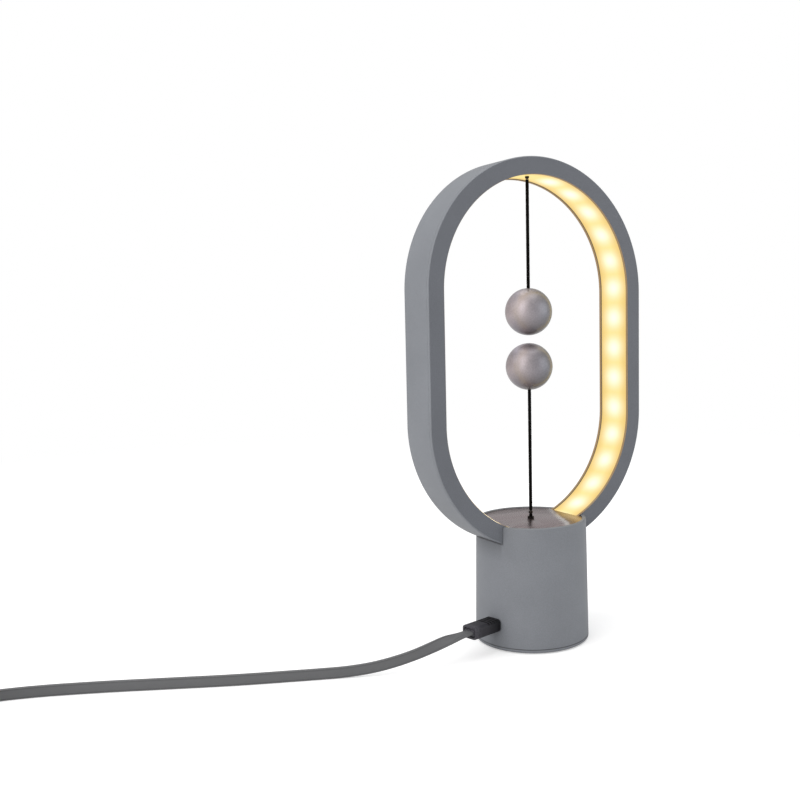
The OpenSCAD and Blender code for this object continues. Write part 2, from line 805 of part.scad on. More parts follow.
// Section of the flat cable: halves of its width and thickness, as shares of each
section_shares = [[1, 0.4], [0.75, 1], [-0.75, 1], [-1, 0.4], [-1, -0.4], [-0.75, -1], [0.75, -1], [1, -0.4]];
coil_shares = [[1, 0], [0.8, 1], [-0.8, 1], [-1, 0], [-0.8, -1], [0.8, -1]];

// One ring of the cable's skin, square to its heading and turned by its twist
function skin_ring(p, dir, twist, shares) =
  let (side = unit(cross([0, 0, 1], dir)), up = cross(dir, side))
  let (across = side * cos(twist) + up * sin(twist), through = up * cos(twist) - side * sin(twist))
  [for (s = shares) place(p) + across * (s[0] * cable_w / 2) + through * (s[1] * cable_t / 2)];

// Tube over a list of rings with flat ends
module skin(rings) {
  n = len(rings[0]);
  last = len(rings) - 1;
  points = [for (r = rings, p = r) p];
  sides = [for (i = [0:last - 1], j = [0:n - 1], half_face = [0, 1])
    let (a = i * n + j, b = i * n + (j + 1) % n)
    half_face == 0 ? [a, b, b + n] : [a, b + n, a + n]];
  first_cap = [for (j = [1:n - 2]) [0, j + 1, j]];
  last_cap = [for (j = [1:n - 2]) [last * n, last * n + j, last * n + j + 1]];
  polyhedron(points, concat(sides, first_cap, last_cap));
}

module flat_tube(route, first_dir, last_dir) {
  last = len(route) - 1;
  skin([for (i = [0:last])
    let (dir = i == 0 ? first_dir : i == last ? last_dir : heading(route, i))
    skin_ring(route[i], dir, route[i][3], section_shares)]);
}

away = [-1, 0, 0];
port_dir = [-cos(port_angle), -sin(port_angle), 0];

module usb_cable() {
  color([0.4, 0.4, 0.41]) flat_tube(cable_route, port_dir, away);
}

module usb_cable_tail() {
  color([0.4, 0.4, 0.41]) flat_tube(tail_route, away, away);
}

// Coil's centre line: turns are counted from the middle of the winding, at the innermost point
coil_mid = coil_turns / 2;
coil_centre = [coil_start[0] - coil_lead, coil_start[1] - coil_r];
function coil_radius(u) = coil_r - coil_pitch * (coil_mid - abs(u))
  - (abs(u) < half ? coil_dip * (1 + cos(full_turn * u)) / 2 : 0);
function climb_share(u) = let (s = min(1, max(0, u / climb_turns + half))) s * s * (3 - 2 * s);
function coil_point(u) =
  let (a = quarter + full_turn * (u + coil_mid), r = coil_radius(u))
  [coil_centre[0] + r * cos(a), coil_centre[1] + r * sin(a), coil_start[2] + coil_rise * climb_share(u)];
coil_line = concat(
  [coil_start],
  [for (k = [0:coil_turns * coil_steps]) coil_point(k / coil_steps - coil_mid)],
  [coil_point(coil_mid) + away * coil_lead]);
coil_rings = [for (i = [0:len(coil_line) - 1])
  let (straight = i < 2 || i > len(coil_line) - 3)
  skin_ring(coil_line[i], straight ? away : heading(coil_line, i), quarter, coil_shares)];

// Least gap of the coil to itself: between skin points of rings more than a third of a turn apart
coil_apart = coil_steps / 3;
function ring_gap(a, b) = min([for (p = coil_rings[a], q = coil_rings[b]) norm(p - q)]);
coil_gap = min([for (a = [0:2:len(coil_rings) - 1])
  for (b = [a + coil_apart:1:len(coil_rings) - 1])
    if (norm(coil_line[a] - coil_line[b]) < 2 * cable_w) ring_gap(a, b)]);

module usb_cable_coil() {
  echo(least_gap_of_the_coil_to_itself = coil_gap);
  color([0.4, 0.4, 0.41]) skin(coil_rings);
}

// Tie: a flat band round both layers of the coil
module cable_tie() {
  tie_u = (tie_angle - quarter) / full_turn;
  out_r = coil_radius(tie_u - coil_mid) + cable_t / 2 + 2 * tie_gap;
  in_r = coil_radius(tie_u) - cable_t / 2 - 2 * tie_gap;
  low_z = coil_start[2] - cable_w / 2 - tie_gap;
  h = cable_w + coil_rise + 2 * tie_gap;
  color([0.1, 0.1, 0.1]) translate([coil_centre[0], coil_centre[1], 0]) rotate([0, 0, tie_angle])
    translate([0, tie_w / 2, low_z]) rotate([quarter, 0, 0]) linear_extrude(tie_w) difference() {
      translate([in_r - tie_t, -tie_t]) square([out_r - in_r + 2 * tie_t, h + 2 * tie_t]);
      translate([in_r, 0]) square([out_r - in_r, h]);
    }
}

tail_end = tail_route[len(tail_route) - 1];

module usb_a_plug() {
  color([0.22, 0.22, 0.23]) translate([tail_end[0] - a_plug_l, tail_end[1], a_plug_t / 2])
    rotate([quarter, 0, quarter]) linear_extrude(a_plug_l) round_square(a_plug_w, a_plug_t, a_plug_edge_r);
}

module usb_a_shell() {
  color([0.75, 0.75, 0.77]) translate([tail_end[0] - a_plug_l - a_shell_l, tail_end[1], a_plug_t / 2])
    rotate([quarter, 0, quarter]) difference() {
      linear_extrude(a_shell_l - seat / 2) square([a_shell_w, a_shell_t], center = true);
      translate([0, a_tongue_t / 2, -over]) linear_extrude(a_shell_l)
        square([a_shell_w - 2 * a_shell_wall, a_shell_t - 2 * a_shell_wall - a_tongue_t], center = true);
      for (side = [-1, 1])
        translate([side * a_window_y - a_window_w / 2, a_shell_t / 2 - 2 * a_shell_wall, a_window_in])
          cube([a_window_w, 2 * a_shell_wall + over, a_window_l]);
    }
}

base_shell();
top_plate();
cord_eyelet();
bottom_cover();
foot_pad();
cover_screws();
counterweight();
circuit_board();
board_parts();
usb_socket();
switch_bracket();
bracket_screws();
switch_body();
lever_pin();
lead_wires();
ring_body();
ring_cover();
diffuser();
led_strip();
leds();
ring_screws();
cord_anchor();
switch_lever();
switch_plunger();
pull_cord();
pull_knot();
stop_bead();
lower_cord();
lower_ball();
lower_magnet();
lower_plug();
hang_bead();
upper_cord();
upper_ball();
upper_magnet();
upper_plug();
micro_usb_plug();
micro_usb_tip();
usb_cable();
usb_cable_coil();
usb_cable_tail();
cable_tie();
usb_a_plug();
usb_a_shell();
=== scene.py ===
import math

import bmesh
import bpy
from bpy.props import FloatProperty, FloatVectorProperty, IntProperty, PointerProperty
from mathutils import Matrix, Vector


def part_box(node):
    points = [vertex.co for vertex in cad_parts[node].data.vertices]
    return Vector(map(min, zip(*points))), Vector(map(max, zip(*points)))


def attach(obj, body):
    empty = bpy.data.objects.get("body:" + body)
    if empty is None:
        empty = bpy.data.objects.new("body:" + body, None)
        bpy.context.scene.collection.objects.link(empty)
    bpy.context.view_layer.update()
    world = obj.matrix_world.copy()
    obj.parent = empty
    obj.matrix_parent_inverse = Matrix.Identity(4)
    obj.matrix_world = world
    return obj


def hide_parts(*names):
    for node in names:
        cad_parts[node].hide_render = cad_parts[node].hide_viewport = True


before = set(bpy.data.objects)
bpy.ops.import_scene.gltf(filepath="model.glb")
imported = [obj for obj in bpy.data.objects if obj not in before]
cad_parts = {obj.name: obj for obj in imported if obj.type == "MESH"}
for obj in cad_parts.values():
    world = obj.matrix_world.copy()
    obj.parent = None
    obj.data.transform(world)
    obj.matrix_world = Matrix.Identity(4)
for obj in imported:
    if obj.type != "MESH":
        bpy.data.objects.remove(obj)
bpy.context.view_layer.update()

bl_info = {
    "name": "Magnetic balance lamp",
    "version": (1, 0, 0),
    "blender": (4, 5, 0),
    "location": "View3D > Sidebar > Balance lamp",
    "description": "Finished pieces, materials and stage of a lit ring lamp with two magnetic balls",
    "category": "Object",
}

MM = 0.001
# Body that carries everything that doesn't move
LAMP = "lamp"


def low(node):
    """Lowest corner of a CAD node's box."""
    return Vector(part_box(node)[0])


def high(node):
    """Highest corner of a CAD node's box."""
    return Vector(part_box(node)[1])


def middle(node):
    return (low(node) + high(node)) / 2


# Sizes


class RingSizes(bpy.types.PropertyGroup):
    radius: FloatProperty(
        name="Radius", description="Outer radius of the ring's arcs",
        default=high("ring_body").x, unit="LENGTH")
    top: FloatProperty(
        name="Top", description="Height of the ring's top over the table",
        default=high("ring_body").z, unit="LENGTH")
    bottom: FloatProperty(
        name="Bottom", description="Height of the ring's lowest point, inside the base",
        default=low("ring_body").z, unit="LENGTH")
    half_depth: FloatProperty(
        name="Half depth", description="Half of the ring's depth from front to back",
        default=high("ring_body").y, unit="LENGTH")
    band: FloatProperty(
        name="Band", description="Width of the ring's front face", default=9 * MM, unit="LENGTH")
    wall: FloatProperty(
        name="Wall", description="Thickness of the outer wall", default=2 * MM, unit="LENGTH")
    plate: FloatProperty(
        name="Plate", description="Thickness of the front and rear plates", default=1.4 * MM, unit="LENGTH")
    edge: FloatProperty(
        name="Edge radius", description="Radius on the ring's outer edges", default=0.8 * MM, unit="LENGTH")
    seam: FloatProperty(
        name="Seam", description="Gap between the front plate and the wall", default=0.1 * MM,
        unit="LENGTH")
    steps: IntProperty(
        name="Steps", description="Number of steps round the ring", default=288, min=48)


class GlowSizes(bpy.types.PropertyGroup):
    radius: FloatProperty(
        name="Radius", description="Inner radius of the light diffuser", default=59 * MM, unit="LENGTH")
    thickness: FloatProperty(
        name="Thickness", description="Thickness of the light diffuser", default=1.2 * MM, unit="LENGTH")
    half_width: FloatProperty(
        name="Half width", description="Half of the diffuser's width",
        default=high("diffuser").y, unit="LENGTH")
    strip_radius: FloatProperty(
        name="Strip radius", description="Radius that the lights sit on", default=65.1 * MM, unit="LENGTH")
    pitch: FloatProperty(
        name="Pitch", description="Distance between lights along the strip", default=16.6 * MM,
        unit="LENGTH")
    spot: FloatProperty(
        name="Spot", description="Spread of one light on the diffuser", default=3.9 * MM, unit="LENGTH")
    strength: FloatProperty(
        name="Strength", description="Brightness of the diffuser", default=1.0, min=0)
    edge_colour: FloatVectorProperty(
        name="Edge colour", description="Glow along the diffuser's edges", subtype="COLOR",
        default=(0.75, 0.51, 0.15))
    band_colour: FloatVectorProperty(
        name="Band colour", description="Glow between the lights", subtype="COLOR",
        default=(0.88, 0.70, 0.24))
    spot_colour: FloatVectorProperty(
        name="Spot colour", description="Glow over a light", subtype="COLOR", default=(1.0, 1.0, 0.82))


class FinishColours(bpy.types.PropertyGroup):
    lacquer: FloatVectorProperty(
        name="Lacquer", description="Grey lacquer of the base and the ring's side", subtype="COLOR",
        default=(0.214, 0.2255, 0.247))
    # Darker than the lacquer: partly the faces' own finish, partly painted shade
    face: FloatVectorProperty(
        name="Ring face", description="Grey of the ring's front and rear faces", subtype="COLOR",
        default=(0.142, 0.1505, 0.170))
    disc: FloatVectorProperty(
        name="Disc", description="Brushed metal of the top plate", subtype="COLOR",
        default=(0.45, 0.37, 0.38))
    # Warm colour painted for the diffuser's light on the plates' inner edges
    rim: FloatVectorProperty(
        name="Lit rim", description="Inner edges of the ring's plates, warmed by the diffuser",
        subtype="COLOR", default=(0.20, 0.13, 0.07))
    ball: FloatVectorProperty(
        name="Ball", description="Pewter of the two balls", subtype="COLOR", default=(0.41, 0.385, 0.392))
    cord: FloatVectorProperty(
        name="Cord", description="Black of the cords", subtype="COLOR", default=(0.004, 0.0035, 0.003))
    cable: FloatVectorProperty(
        name="Cable", description="Jacket of the power lead", subtype="COLOR",
        default=(0.131, 0.133, 0.137))
    plug: FloatVectorProperty(
        name="Plug", description="Moulded plastic of the plugs", subtype="COLOR",
        default=(0.028, 0.027, 0.032))


class BallSizes(bpy.types.PropertyGroup):
    segments: IntProperty(
        name="Segments", description="Facets round each ball", default=128, min=16)
    bore: FloatProperty(
        name="Bore", description="Radius of the hole for the magnet", default=2.95 * MM, unit="LENGTH")
    skin: FloatProperty(
        name="Skin", description="Metal left in front of the magnet", default=1.4 * MM, unit="LENGTH")
    lip: FloatProperty(
        name="Lip", description="Rounding of the hole's rim", default=0.12 * MM, unit="LENGTH")


class CordSizes(bpy.types.PropertyGroup):
    radius: FloatProperty(
        name="Radius", description="Radius of the braided cord", default=0.9 * MM, unit="LENGTH")
    strands: IntProperty(
        name="Strands", description="Strands that wind one way in the braid", default=6, min=2)
    lay: FloatProperty(
        name="Lay", description="Length of one full turn of a strand", default=6.5 * MM, unit="LENGTH")


class CableSizes(bpy.types.PropertyGroup):
    width: FloatProperty(
        name="Width", description="Width of the flat cable", default=5.5 * MM, unit="LENGTH")
    thickness: FloatProperty(
        name="Thickness", description="Thickness of the flat cable", default=1.7 * MM, unit="LENGTH")
    coil_radius: FloatProperty(
        name="Coil radius", description="Radius of the coil's outer turn", default=30 * MM, unit="LENGTH")
    coil_turns: IntProperty(
        name="Coil turns", description="Number of turns in the coil", default=4, min=2)


class StudioSetup(bpy.types.PropertyGroup):
    camera_place: FloatVectorProperty(
        name="Camera place", description="Place of the camera", subtype="TRANSLATION",
        default=(-0.29619, -0.39279, 0.16816))
    camera_turn: FloatVectorProperty(
        name="Camera turn", description="Turn of the camera about X, Y and Z", subtype="EULER",
        default=(math.radians(85.171), math.radians(0.933), math.radians(-33.586)))
    lens: FloatProperty(
        name="Lens", description="Focal length in millimetres", default=42.326, min=10)
    shift: FloatProperty(
        name="Shift", description="Sideways shift of the camera's frame", default=-0.09)
    ambient: FloatProperty(
        name="Ambient", description="Strength of the room's even light", default=0.58, min=0)
    floor_colour: FloatProperty(
        name="Floor", description="Grey value of the floor", default=0.80, min=0, max=1)
    floor_lift: FloatProperty(
        name="Floor lift", description="Light added to the floor as the camera sees it", default=0.42,
        min=0)


# Meshes


def place_mesh(name, mesh):
    """New object at the origin with this mesh."""
    obj = bpy.data.objects.new(name, mesh)
    bpy.context.scene.collection.objects.link(obj)
    return obj


def mesh_from(name, points, faces):
    mesh = bpy.data.meshes.new(name)
    mesh.from_pydata([tuple(point) for point in points], [], faces)
    mesh.validate()
    mesh.update()
    return mesh


def tidy_mesh(mesh, merge):
    """Merge points that are this close and turn the faces outwards."""
    bm = bmesh.new()
    bm.from_mesh(mesh)
    bmesh.ops.remove_doubles(bm, verts=bm.verts, dist=merge)
    bmesh.ops.recalc_face_normals(bm, faces=bm.faces)
    bm.to_mesh(mesh)
    bm.free()


def shade(mesh, degrees=35):
    """Smooth shading with sharp edges from an angle on."""
    mesh.shade_smooth()
    mesh.set_sharp_from_angle(angle=math.radians(degrees))


def bake_modifiers(obj):
    """Replace the object's mesh with its evaluated one and drop the modifiers."""
    bpy.context.view_layer.update()
    depsgraph = bpy.context.evaluated_depsgraph_get()
    mesh = bpy.data.meshes.new_from_object(
        obj.evaluated_get(depsgraph), preserve_all_data_layers=True, depsgraph=depsgraph)
    obj.modifiers.clear()
    obj.data = mesh
    mesh.name = obj.name
    return mesh


def set_material(obj, material):
    obj.data.materials.clear()
    obj.data.materials.append(material)


def set_node_material(node, material):
    """Material on a CAD piece that keeps its shape."""
    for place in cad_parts[node].material_slots:
        place.material = material


def finish_piece(obj, body, material=None, stands_for=()):
    """Give a piece its material, put it on its body and hide the CAD nodes that it replaces."""
    if material:
        set_material(obj, material)
    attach(obj, body)
    if stands_for:
        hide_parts(*stands_for)


def lathe(name, profile, segments, centre, flip=False):
    """Closed solid of revolution from (radius, height) pairs that start and end on the axis."""
    points, faces, rows = [], [], []
    sign = -1 if flip else 1
    for radius, height in profile:
        level = centre + Vector((0, 0, sign * height))
        if radius < 1e-9:
            rows.append([len(points)] * segments)
            points.append(level)
            continue
        rows.append(list(range(len(points), len(points) + segments)))
        for k in range(segments):
            angle = 2 * math.pi * k / segments
            points.append(level + Vector((radius * math.cos(angle), radius * math.sin(angle), 0)))
    for upper, lower in zip(rows, rows[1:]):
        for k in range(segments):
            after = (k + 1) % segments
            face = list(dict.fromkeys([upper[k], lower[k], lower[after], upper[after]]))
            if len(face) > 2:
                faces.append(face)
    mesh = mesh_from(name, points, faces)
    tidy_mesh(mesh, 1e-7)
    shade(mesh)
    return place_mesh(name, mesh)


def arc(centre, radius, start, end, count):
    """Points of an arc between two angles in degrees."""
    angles = [math.radians(start + (end - start) * k / count) for k in range(count + 1)]
    return [(centre[0] + radius * math.cos(a), centre[1] + radius * math.sin(a)) for a in angles]


def dressed_copy(node, name, bevel, segments):
    """Cleaned copy of a CAD piece with its sharp edges broken."""
    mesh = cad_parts[node].data.copy()
    mesh.name = name
    bm = bmesh.new()
    bm.from_mesh(mesh)
    bmesh.ops.remove_doubles(bm, verts=bm.verts, dist=2e-6)
    bmesh.ops.dissolve_degenerate(bm, edges=bm.edges, dist=1e-6)
    bmesh.ops.dissolve_limit(
        bm, angle_limit=math.radians(1), verts=bm.verts, edges=bm.edges, delimit=set())
    bmesh.ops.recalc_face_normals(bm, faces=bm.faces)
    bm.to_mesh(mesh)
    bm.free()
    obj = place_mesh(name, mesh)
    modifier = obj.modifiers.new("edges", "BEVEL")
    modifier.width = bevel
    modifier.segments = segments
    modifier.limit_method = "ANGLE"
    modifier.angle_limit = math.radians(40)
    modifier.use_clamp_overlap = True
    shade(bake_modifiers(obj), 32)
    return obj


def dress_pieces(rows):
    """Dressed copies on the lamp's body: node, name, bevel, segments, slot (not used) and material of each.
    """
    pieces = []
    for node, name, bevel, segments, slot, material in rows:
        pieces.append(dressed_copy(node, name, bevel, segments))
        finish_piece(pieces[-1], LAMP, material, (node,))
    return pieces


# Cosine of the largest angle between a face of the base's side and the true side
SIDE_COSINE = 0.9985


def true_side_normals(mesh, foot_radius, top_radius, height):
    """Exact normals on a tapered round side, so that faces cut by a slot or a hole shade evenly."""
    rise = Vector((0, 0, (foot_radius - top_radius) / height))

    def outward(point):
        return (Vector((point.x, point.y, 0)).normalized() + rise).normalized()

    normals = [corner.vector.copy() for corner in mesh.corner_normals]
    for polygon in mesh.polygons:
        if polygon.normal.dot(outward(polygon.center)) < SIDE_COSINE:
            continue
        for loop in polygon.loop_indices:
            normals[loop] = outward(mesh.vertices[mesh.loops[loop].vertex_index].co)
    mesh.normals_split_custom_set(normals)


def cut_holes(obj, cutters):
    """Cut upright round holes: (x, y, z low, z high, radius) of each."""
    for x, y, z_low, z_high, radius in cutters:
        profile = [(0, z_low), (radius, z_low), (radius, z_high), (0, z_high)]
        tool = lathe("hole_tool", profile, 32, Vector((x, y, 0)))
        modifier = obj.modifiers.new("hole", "BOOLEAN")
        modifier.object = tool
        modifier.operation = "DIFFERENCE"
        modifier.solver = "EXACT"
        bake_modifiers(obj)
        bpy.data.objects.remove(tool, do_unlink=True)


# Node trees


class NodeKit:
    """Short ways to add nodes to a node tree and to set or link their sockets."""

    def __init__(self, tree):
        self.tree = tree

    def node(self, kind, sockets=None, **settings):
        node = self.tree.nodes.new(kind)
        for key, setting in settings.items():
            setattr(node, key, setting)
        for key, content in (sockets or {}).items():
            self.feed(node.inputs[key], content)
        return node

    def feed(self, socket, content):
        if isinstance(content, bpy.types.NodeSocket):
            self.tree.links.new(content, socket)
        elif socket.type == "RGBA" and len(content) == 3:
            socket.default_value = (*content, 1)
        else:
            socket.default_value = content

    def math(self, operation, *values):
        node = self.node("ShaderNodeMath", operation=operation)
        for socket, content in zip(node.inputs, values):
            self.feed(socket, content)
        return node.outputs[0]

    def times(self, a, b):
        return self.math("MULTIPLY", a, b)

    def minus(self, a, b):
        return self.math("SUBTRACT", a, b)

    def absolute(self, a):
        return self.math("ABSOLUTE", a)

    def remap(self, value, from_low, from_high, to_low=0.0, to_high=1.0, curve="LINEAR"):
        """Value moved from one range to another and held at its ends."""
        return self.node("ShaderNodeMapRange", {
            "Value": value, "From Min": from_low, "From Max": from_high,
            "To Min": to_low, "To Max": to_high}, interpolation_type=curve).outputs[0]

    def parts(self, vector):
        """X, Y and Z of a vector."""
        return self.node("ShaderNodeSeparateXYZ", {"Vector": vector}).outputs


class Tree(NodeKit):
    """Geometry node tree with named inputs."""

    def __init__(self, name, inputs):
        super().__init__(bpy.data.node_groups.new(name, "GeometryNodeTree"))
        sockets = self.tree.interface
        sockets.new_socket("Geometry", in_out="INPUT", socket_type="NodeSocketGeometry")
        for label, kind, default in inputs:
            socket = sockets.new_socket(label, in_out="INPUT", socket_type="NodeSocket" + kind)
            if default is not None:
                socket.default_value = default
        sockets.new_socket("Geometry", in_out="OUTPUT", socket_type="NodeSocketGeometry")
        self.input = self.node("NodeGroupInput")
        self.output = self.node("NodeGroupOutput")

    def value(self, label):
        return self.input.outputs[label]

    def vector(self, x=0.0, y=0.0, z=0.0):
        return self.node("ShaderNodeCombineXYZ", {"X": x, "Y": y, "Z": z}).outputs[0]

    def move(self, geometry, **sockets):
        """Geometry turned by Rotation and moved by Translation."""
        return self.node("GeometryNodeTransform", {"Geometry": geometry, **sockets}).outputs[0]

    def close(self, geometry):
        """End the tree with realized instances and the piece's material."""
        real = self.node("GeometryNodeRealizeInstances", {"Geometry": geometry})
        named = self.node(
            "GeometryNodeSetMaterial", {"Geometry": real.outputs[0], "Material": self.value("Material")})
        self.feed(self.output.inputs[0], named.outputs[0])
        return self.tree


def grow(obj, group, values):
    """Run a geometry node tree on an object and keep the plain result."""
    modifier = obj.modifiers.new(group.name, "NODES")
    modifier.node_group = group
    for item in group.interface.items_tree:
        if item.item_type == "SOCKET" and item.in_out == "INPUT" and item.name in values:
            modifier[item.identifier] = values[item.name]
    tidy_mesh(bake_modifiers(obj), 1e-7)


def ring_tree():
    """Sweep of a section round two arcs joined by two straight sides."""
    tree = Tree("ring_sweep", [
        ("Radius", "Float", 67.5 * MM), ("Straight", "Float", 60 * MM), ("Middle", "Float", 150 * MM),
        ("Steps", "Int", 288), ("Material", "Material", None)])
    section = tree.node("GeometryNodeMeshToCurve", {"Mesh": tree.value("Geometry")})
    circle = tree.node("GeometryNodeCurvePrimitiveCircle", {
        "Resolution": tree.value("Steps"), "Radius": tree.value("Radius")}, mode="RADIUS")
    half_step = tree.math("DIVIDE", math.pi, tree.value("Steps"))
    turned = tree.move(circle.outputs["Curve"], Rotation=tree.vector(z=half_step))
    side = tree.math("SIGN", tree.parts(tree.node("GeometryNodeInputPosition").outputs[0])["Y"])
    shift = tree.vector(y=tree.times(side, tree.math("DIVIDE", tree.value("Straight"), 2.0)))
    path = tree.node("GeometryNodeSetPosition", {"Geometry": turned, "Offset": shift})
    upright = tree.node("GeometryNodeSetCurveNormal", {"Curve": path.outputs[0]}, mode="Z_UP")
    sweep = tree.node(
        "GeometryNodeCurveToMesh", {"Curve": upright.outputs[0], "Profile Curve": section.outputs[0]})
    upright_turn, lift = tree.vector(x=math.pi / 2), tree.vector(z=tree.value("Middle"))
    return tree.close(tree.move(sweep.outputs[0], Rotation=upright_turn, Translation=lift))


def braid_tree():
    """Braided cord: strands wound both ways round a core along a straight line."""
    tree = Tree("cord_braid", [
        ("Length", "Float", 60 * MM), ("Radius", "Float", 0.9 * MM), ("Strand", "Float", 0.26 * MM),
        ("Turns", "Float", 9.0), ("Steps", "Int", 200), ("Strands", "Int", 6),
        ("Material", "Material", None)])
    lay_radius = tree.minus(tree.value("Radius"), tree.value("Strand"))
    pieces = []
    for clockwise in (False, True):
        spiral = tree.node("GeometryNodeCurveSpiral", {
            "Resolution": tree.math("DIVIDE", tree.value("Steps"), tree.value("Turns")),
            "Rotations": tree.value("Turns"), "Start Radius": lay_radius, "End Radius": lay_radius,
            "Height": tree.value("Length"), "Reverse": clockwise})
        thread = tree.node(
            "GeometryNodeCurvePrimitiveCircle", {"Resolution": 5, "Radius": tree.value("Strand")})
        strand = tree.node("GeometryNodeCurveToMesh", {
            "Curve": spiral.outputs[0], "Profile Curve": thread.outputs["Curve"], "Fill Caps": True})
        seats = tree.node("GeometryNodeMeshLine", {"Count": tree.value("Strands"), "Offset": (0, 0, 0)})
        step = tree.math("DIVIDE", 2 * math.pi, tree.value("Strands"))
        angle = tree.times(tree.node("GeometryNodeInputIndex").outputs[0], step)
        copies = tree.node("GeometryNodeInstanceOnPoints", {
            "Points": seats.outputs["Mesh"], "Instance": strand.outputs[0],
            "Rotation": tree.vector(z=angle)})
        pieces.append(copies.outputs[0])
    core = tree.node("GeometryNodeMeshCylinder", {
        "Vertices": 24, "Radius": lay_radius, "Depth": tree.value("Length")})
    middle_height = tree.math("DIVIDE", tree.value("Length"), 2.0)
    pieces.append(tree.move(core.outputs["Mesh"], Translation=tree.vector(z=middle_height)))
    joined = tree.node("GeometryNodeJoinGeometry")
    for piece in pieces:
        tree.feed(joined.inputs[0], piece)
    return tree.close(joined.outputs[0])


RING_TREE = ring_tree()
BRAID_TREE = braid_tree()


# Materials

# Parting line of the base: where it starts to fade and has faded, and the share of light left in it
PARTING_FADE, PARTING_SHARE = (0.15 * MM, 0.35 * MM), 0.42
# Painted shade at the joint of the ring's ends and the base: share of light left under and beside an
# end, first in a painted dark shadow line and then in the painted shade round it, and how far from the
# joint each of them fades
SHADOW_LINE_SHARES, SHADE_SHARES = (0.30, 0.66), (0.72, 0.90)
SHADOW_LINE_FADE, SHADE_FADE = (0.3 * MM, 1.0 * MM), (1.0 * MM, 9.0 * MM)
# Painted glow on the ring's inner edges for the diffuser's light: heights where its bright low end begins,
# is full, starts to fade and has faded, its strength, the share of it elsewhere, and its colours elsewhere
# and at the low end
RIM_GLOW_HEIGHTS = (65.5 * MM, 67 * MM, 70 * MM, 88 * MM)
RIM_GLOW_STRENGTH, RIM_GLOW_SHARE = 2.2, 0.07
RIM_GLOW_COLOUR, RIM_GLOW_LOW_COLOUR = (1.0, 0.66, 0.30), (1.0, 0.84, 0.52)
# Grip of the small plug: first groove from the plug's rear, pitch, width, count, the height they cut
# and how dark the painted shade in them is
GRIP_FIRST, GRIP_PITCH, GRIP_WIDTH, GRIP_COUNT, GRIP_HEIGHT = 15.8 * MM, 1.9 * MM, 0.9 * MM, 4, 1.0 * MM
GRIP_SHADE_SHARE = 0.1
# Small plug: how far before its rear end the painted highlight starts and is full, how pale it is, and
# over what length the painted shade beside the base lifts
PLUG_HIGHLIGHT_START, PLUG_HIGHLIGHT_FULL, PLUG_HIGHLIGHT_SHARE = 5 * MM, 0.4 * MM, 3.0
PLUG_SHADE_LENGTH = 8 * MM
# Direction over the balls towards their painted highlight, painted tints away from it and on it, and the
# share of light left by the painted dark reflection at a ball's foot
HIGHLIGHT_WAY = (-0.86, 0.51)
SHADED_TINT, HIGHLIGHT_TINT = (0.70, 0.735, 0.79), (1.44, 1.34, 1.38)
BALL_FOOT_SHARE = 0.36
# Painted cool reflection on the highlighted side: middle and reach as shares of the ball's radius, and its
# tint
COOL_MIDDLE, COOL_REACH, COOL_TINT = 0.58, 0.34, (1.24, 1.23, 1.38)
# Painted reflection of the lit ring at the disc's end, a white glint with gold beyond it: direction towards
# the lit ring, middle, width, colour and share of the glint, start and end of the change to gold, its
# colour and share, and how far brushing frays both
REFLECTION_WAY = (0.906, -0.422)
GLINT_MIDDLE, GLINT_WIDTH, GLINT_COLOUR, GLINT_SHARE = 15.1 * MM, 1.2 * MM, (0.95, 0.92, 0.92), 0.85
GOLD_REFLECTION_START, GOLD_REFLECTION_FULL, GOLD_REFLECTION_COLOUR, GOLD_REFLECTION_SHARE = 16.0 * MM, 17.2 * MM, (0.36, 0.225, 0.08), 0.92
REFLECTION_FRAY = 1.1 * MM
# Diffuser: weight of a distance across a light's spot against one along it, and the share of half the
# band's width where its warmer rim begins
SPOT_ACROSS, WARM_RIM = 0.92, 0.35
# Painted shade in the grooves of the cable: place and reach in half-widths, and the share of light left in
# them
GROOVE_PLACE, GROOVE_REACH, GROOVE_SHADE_SHARE = 0.72, 0.14, 0.72


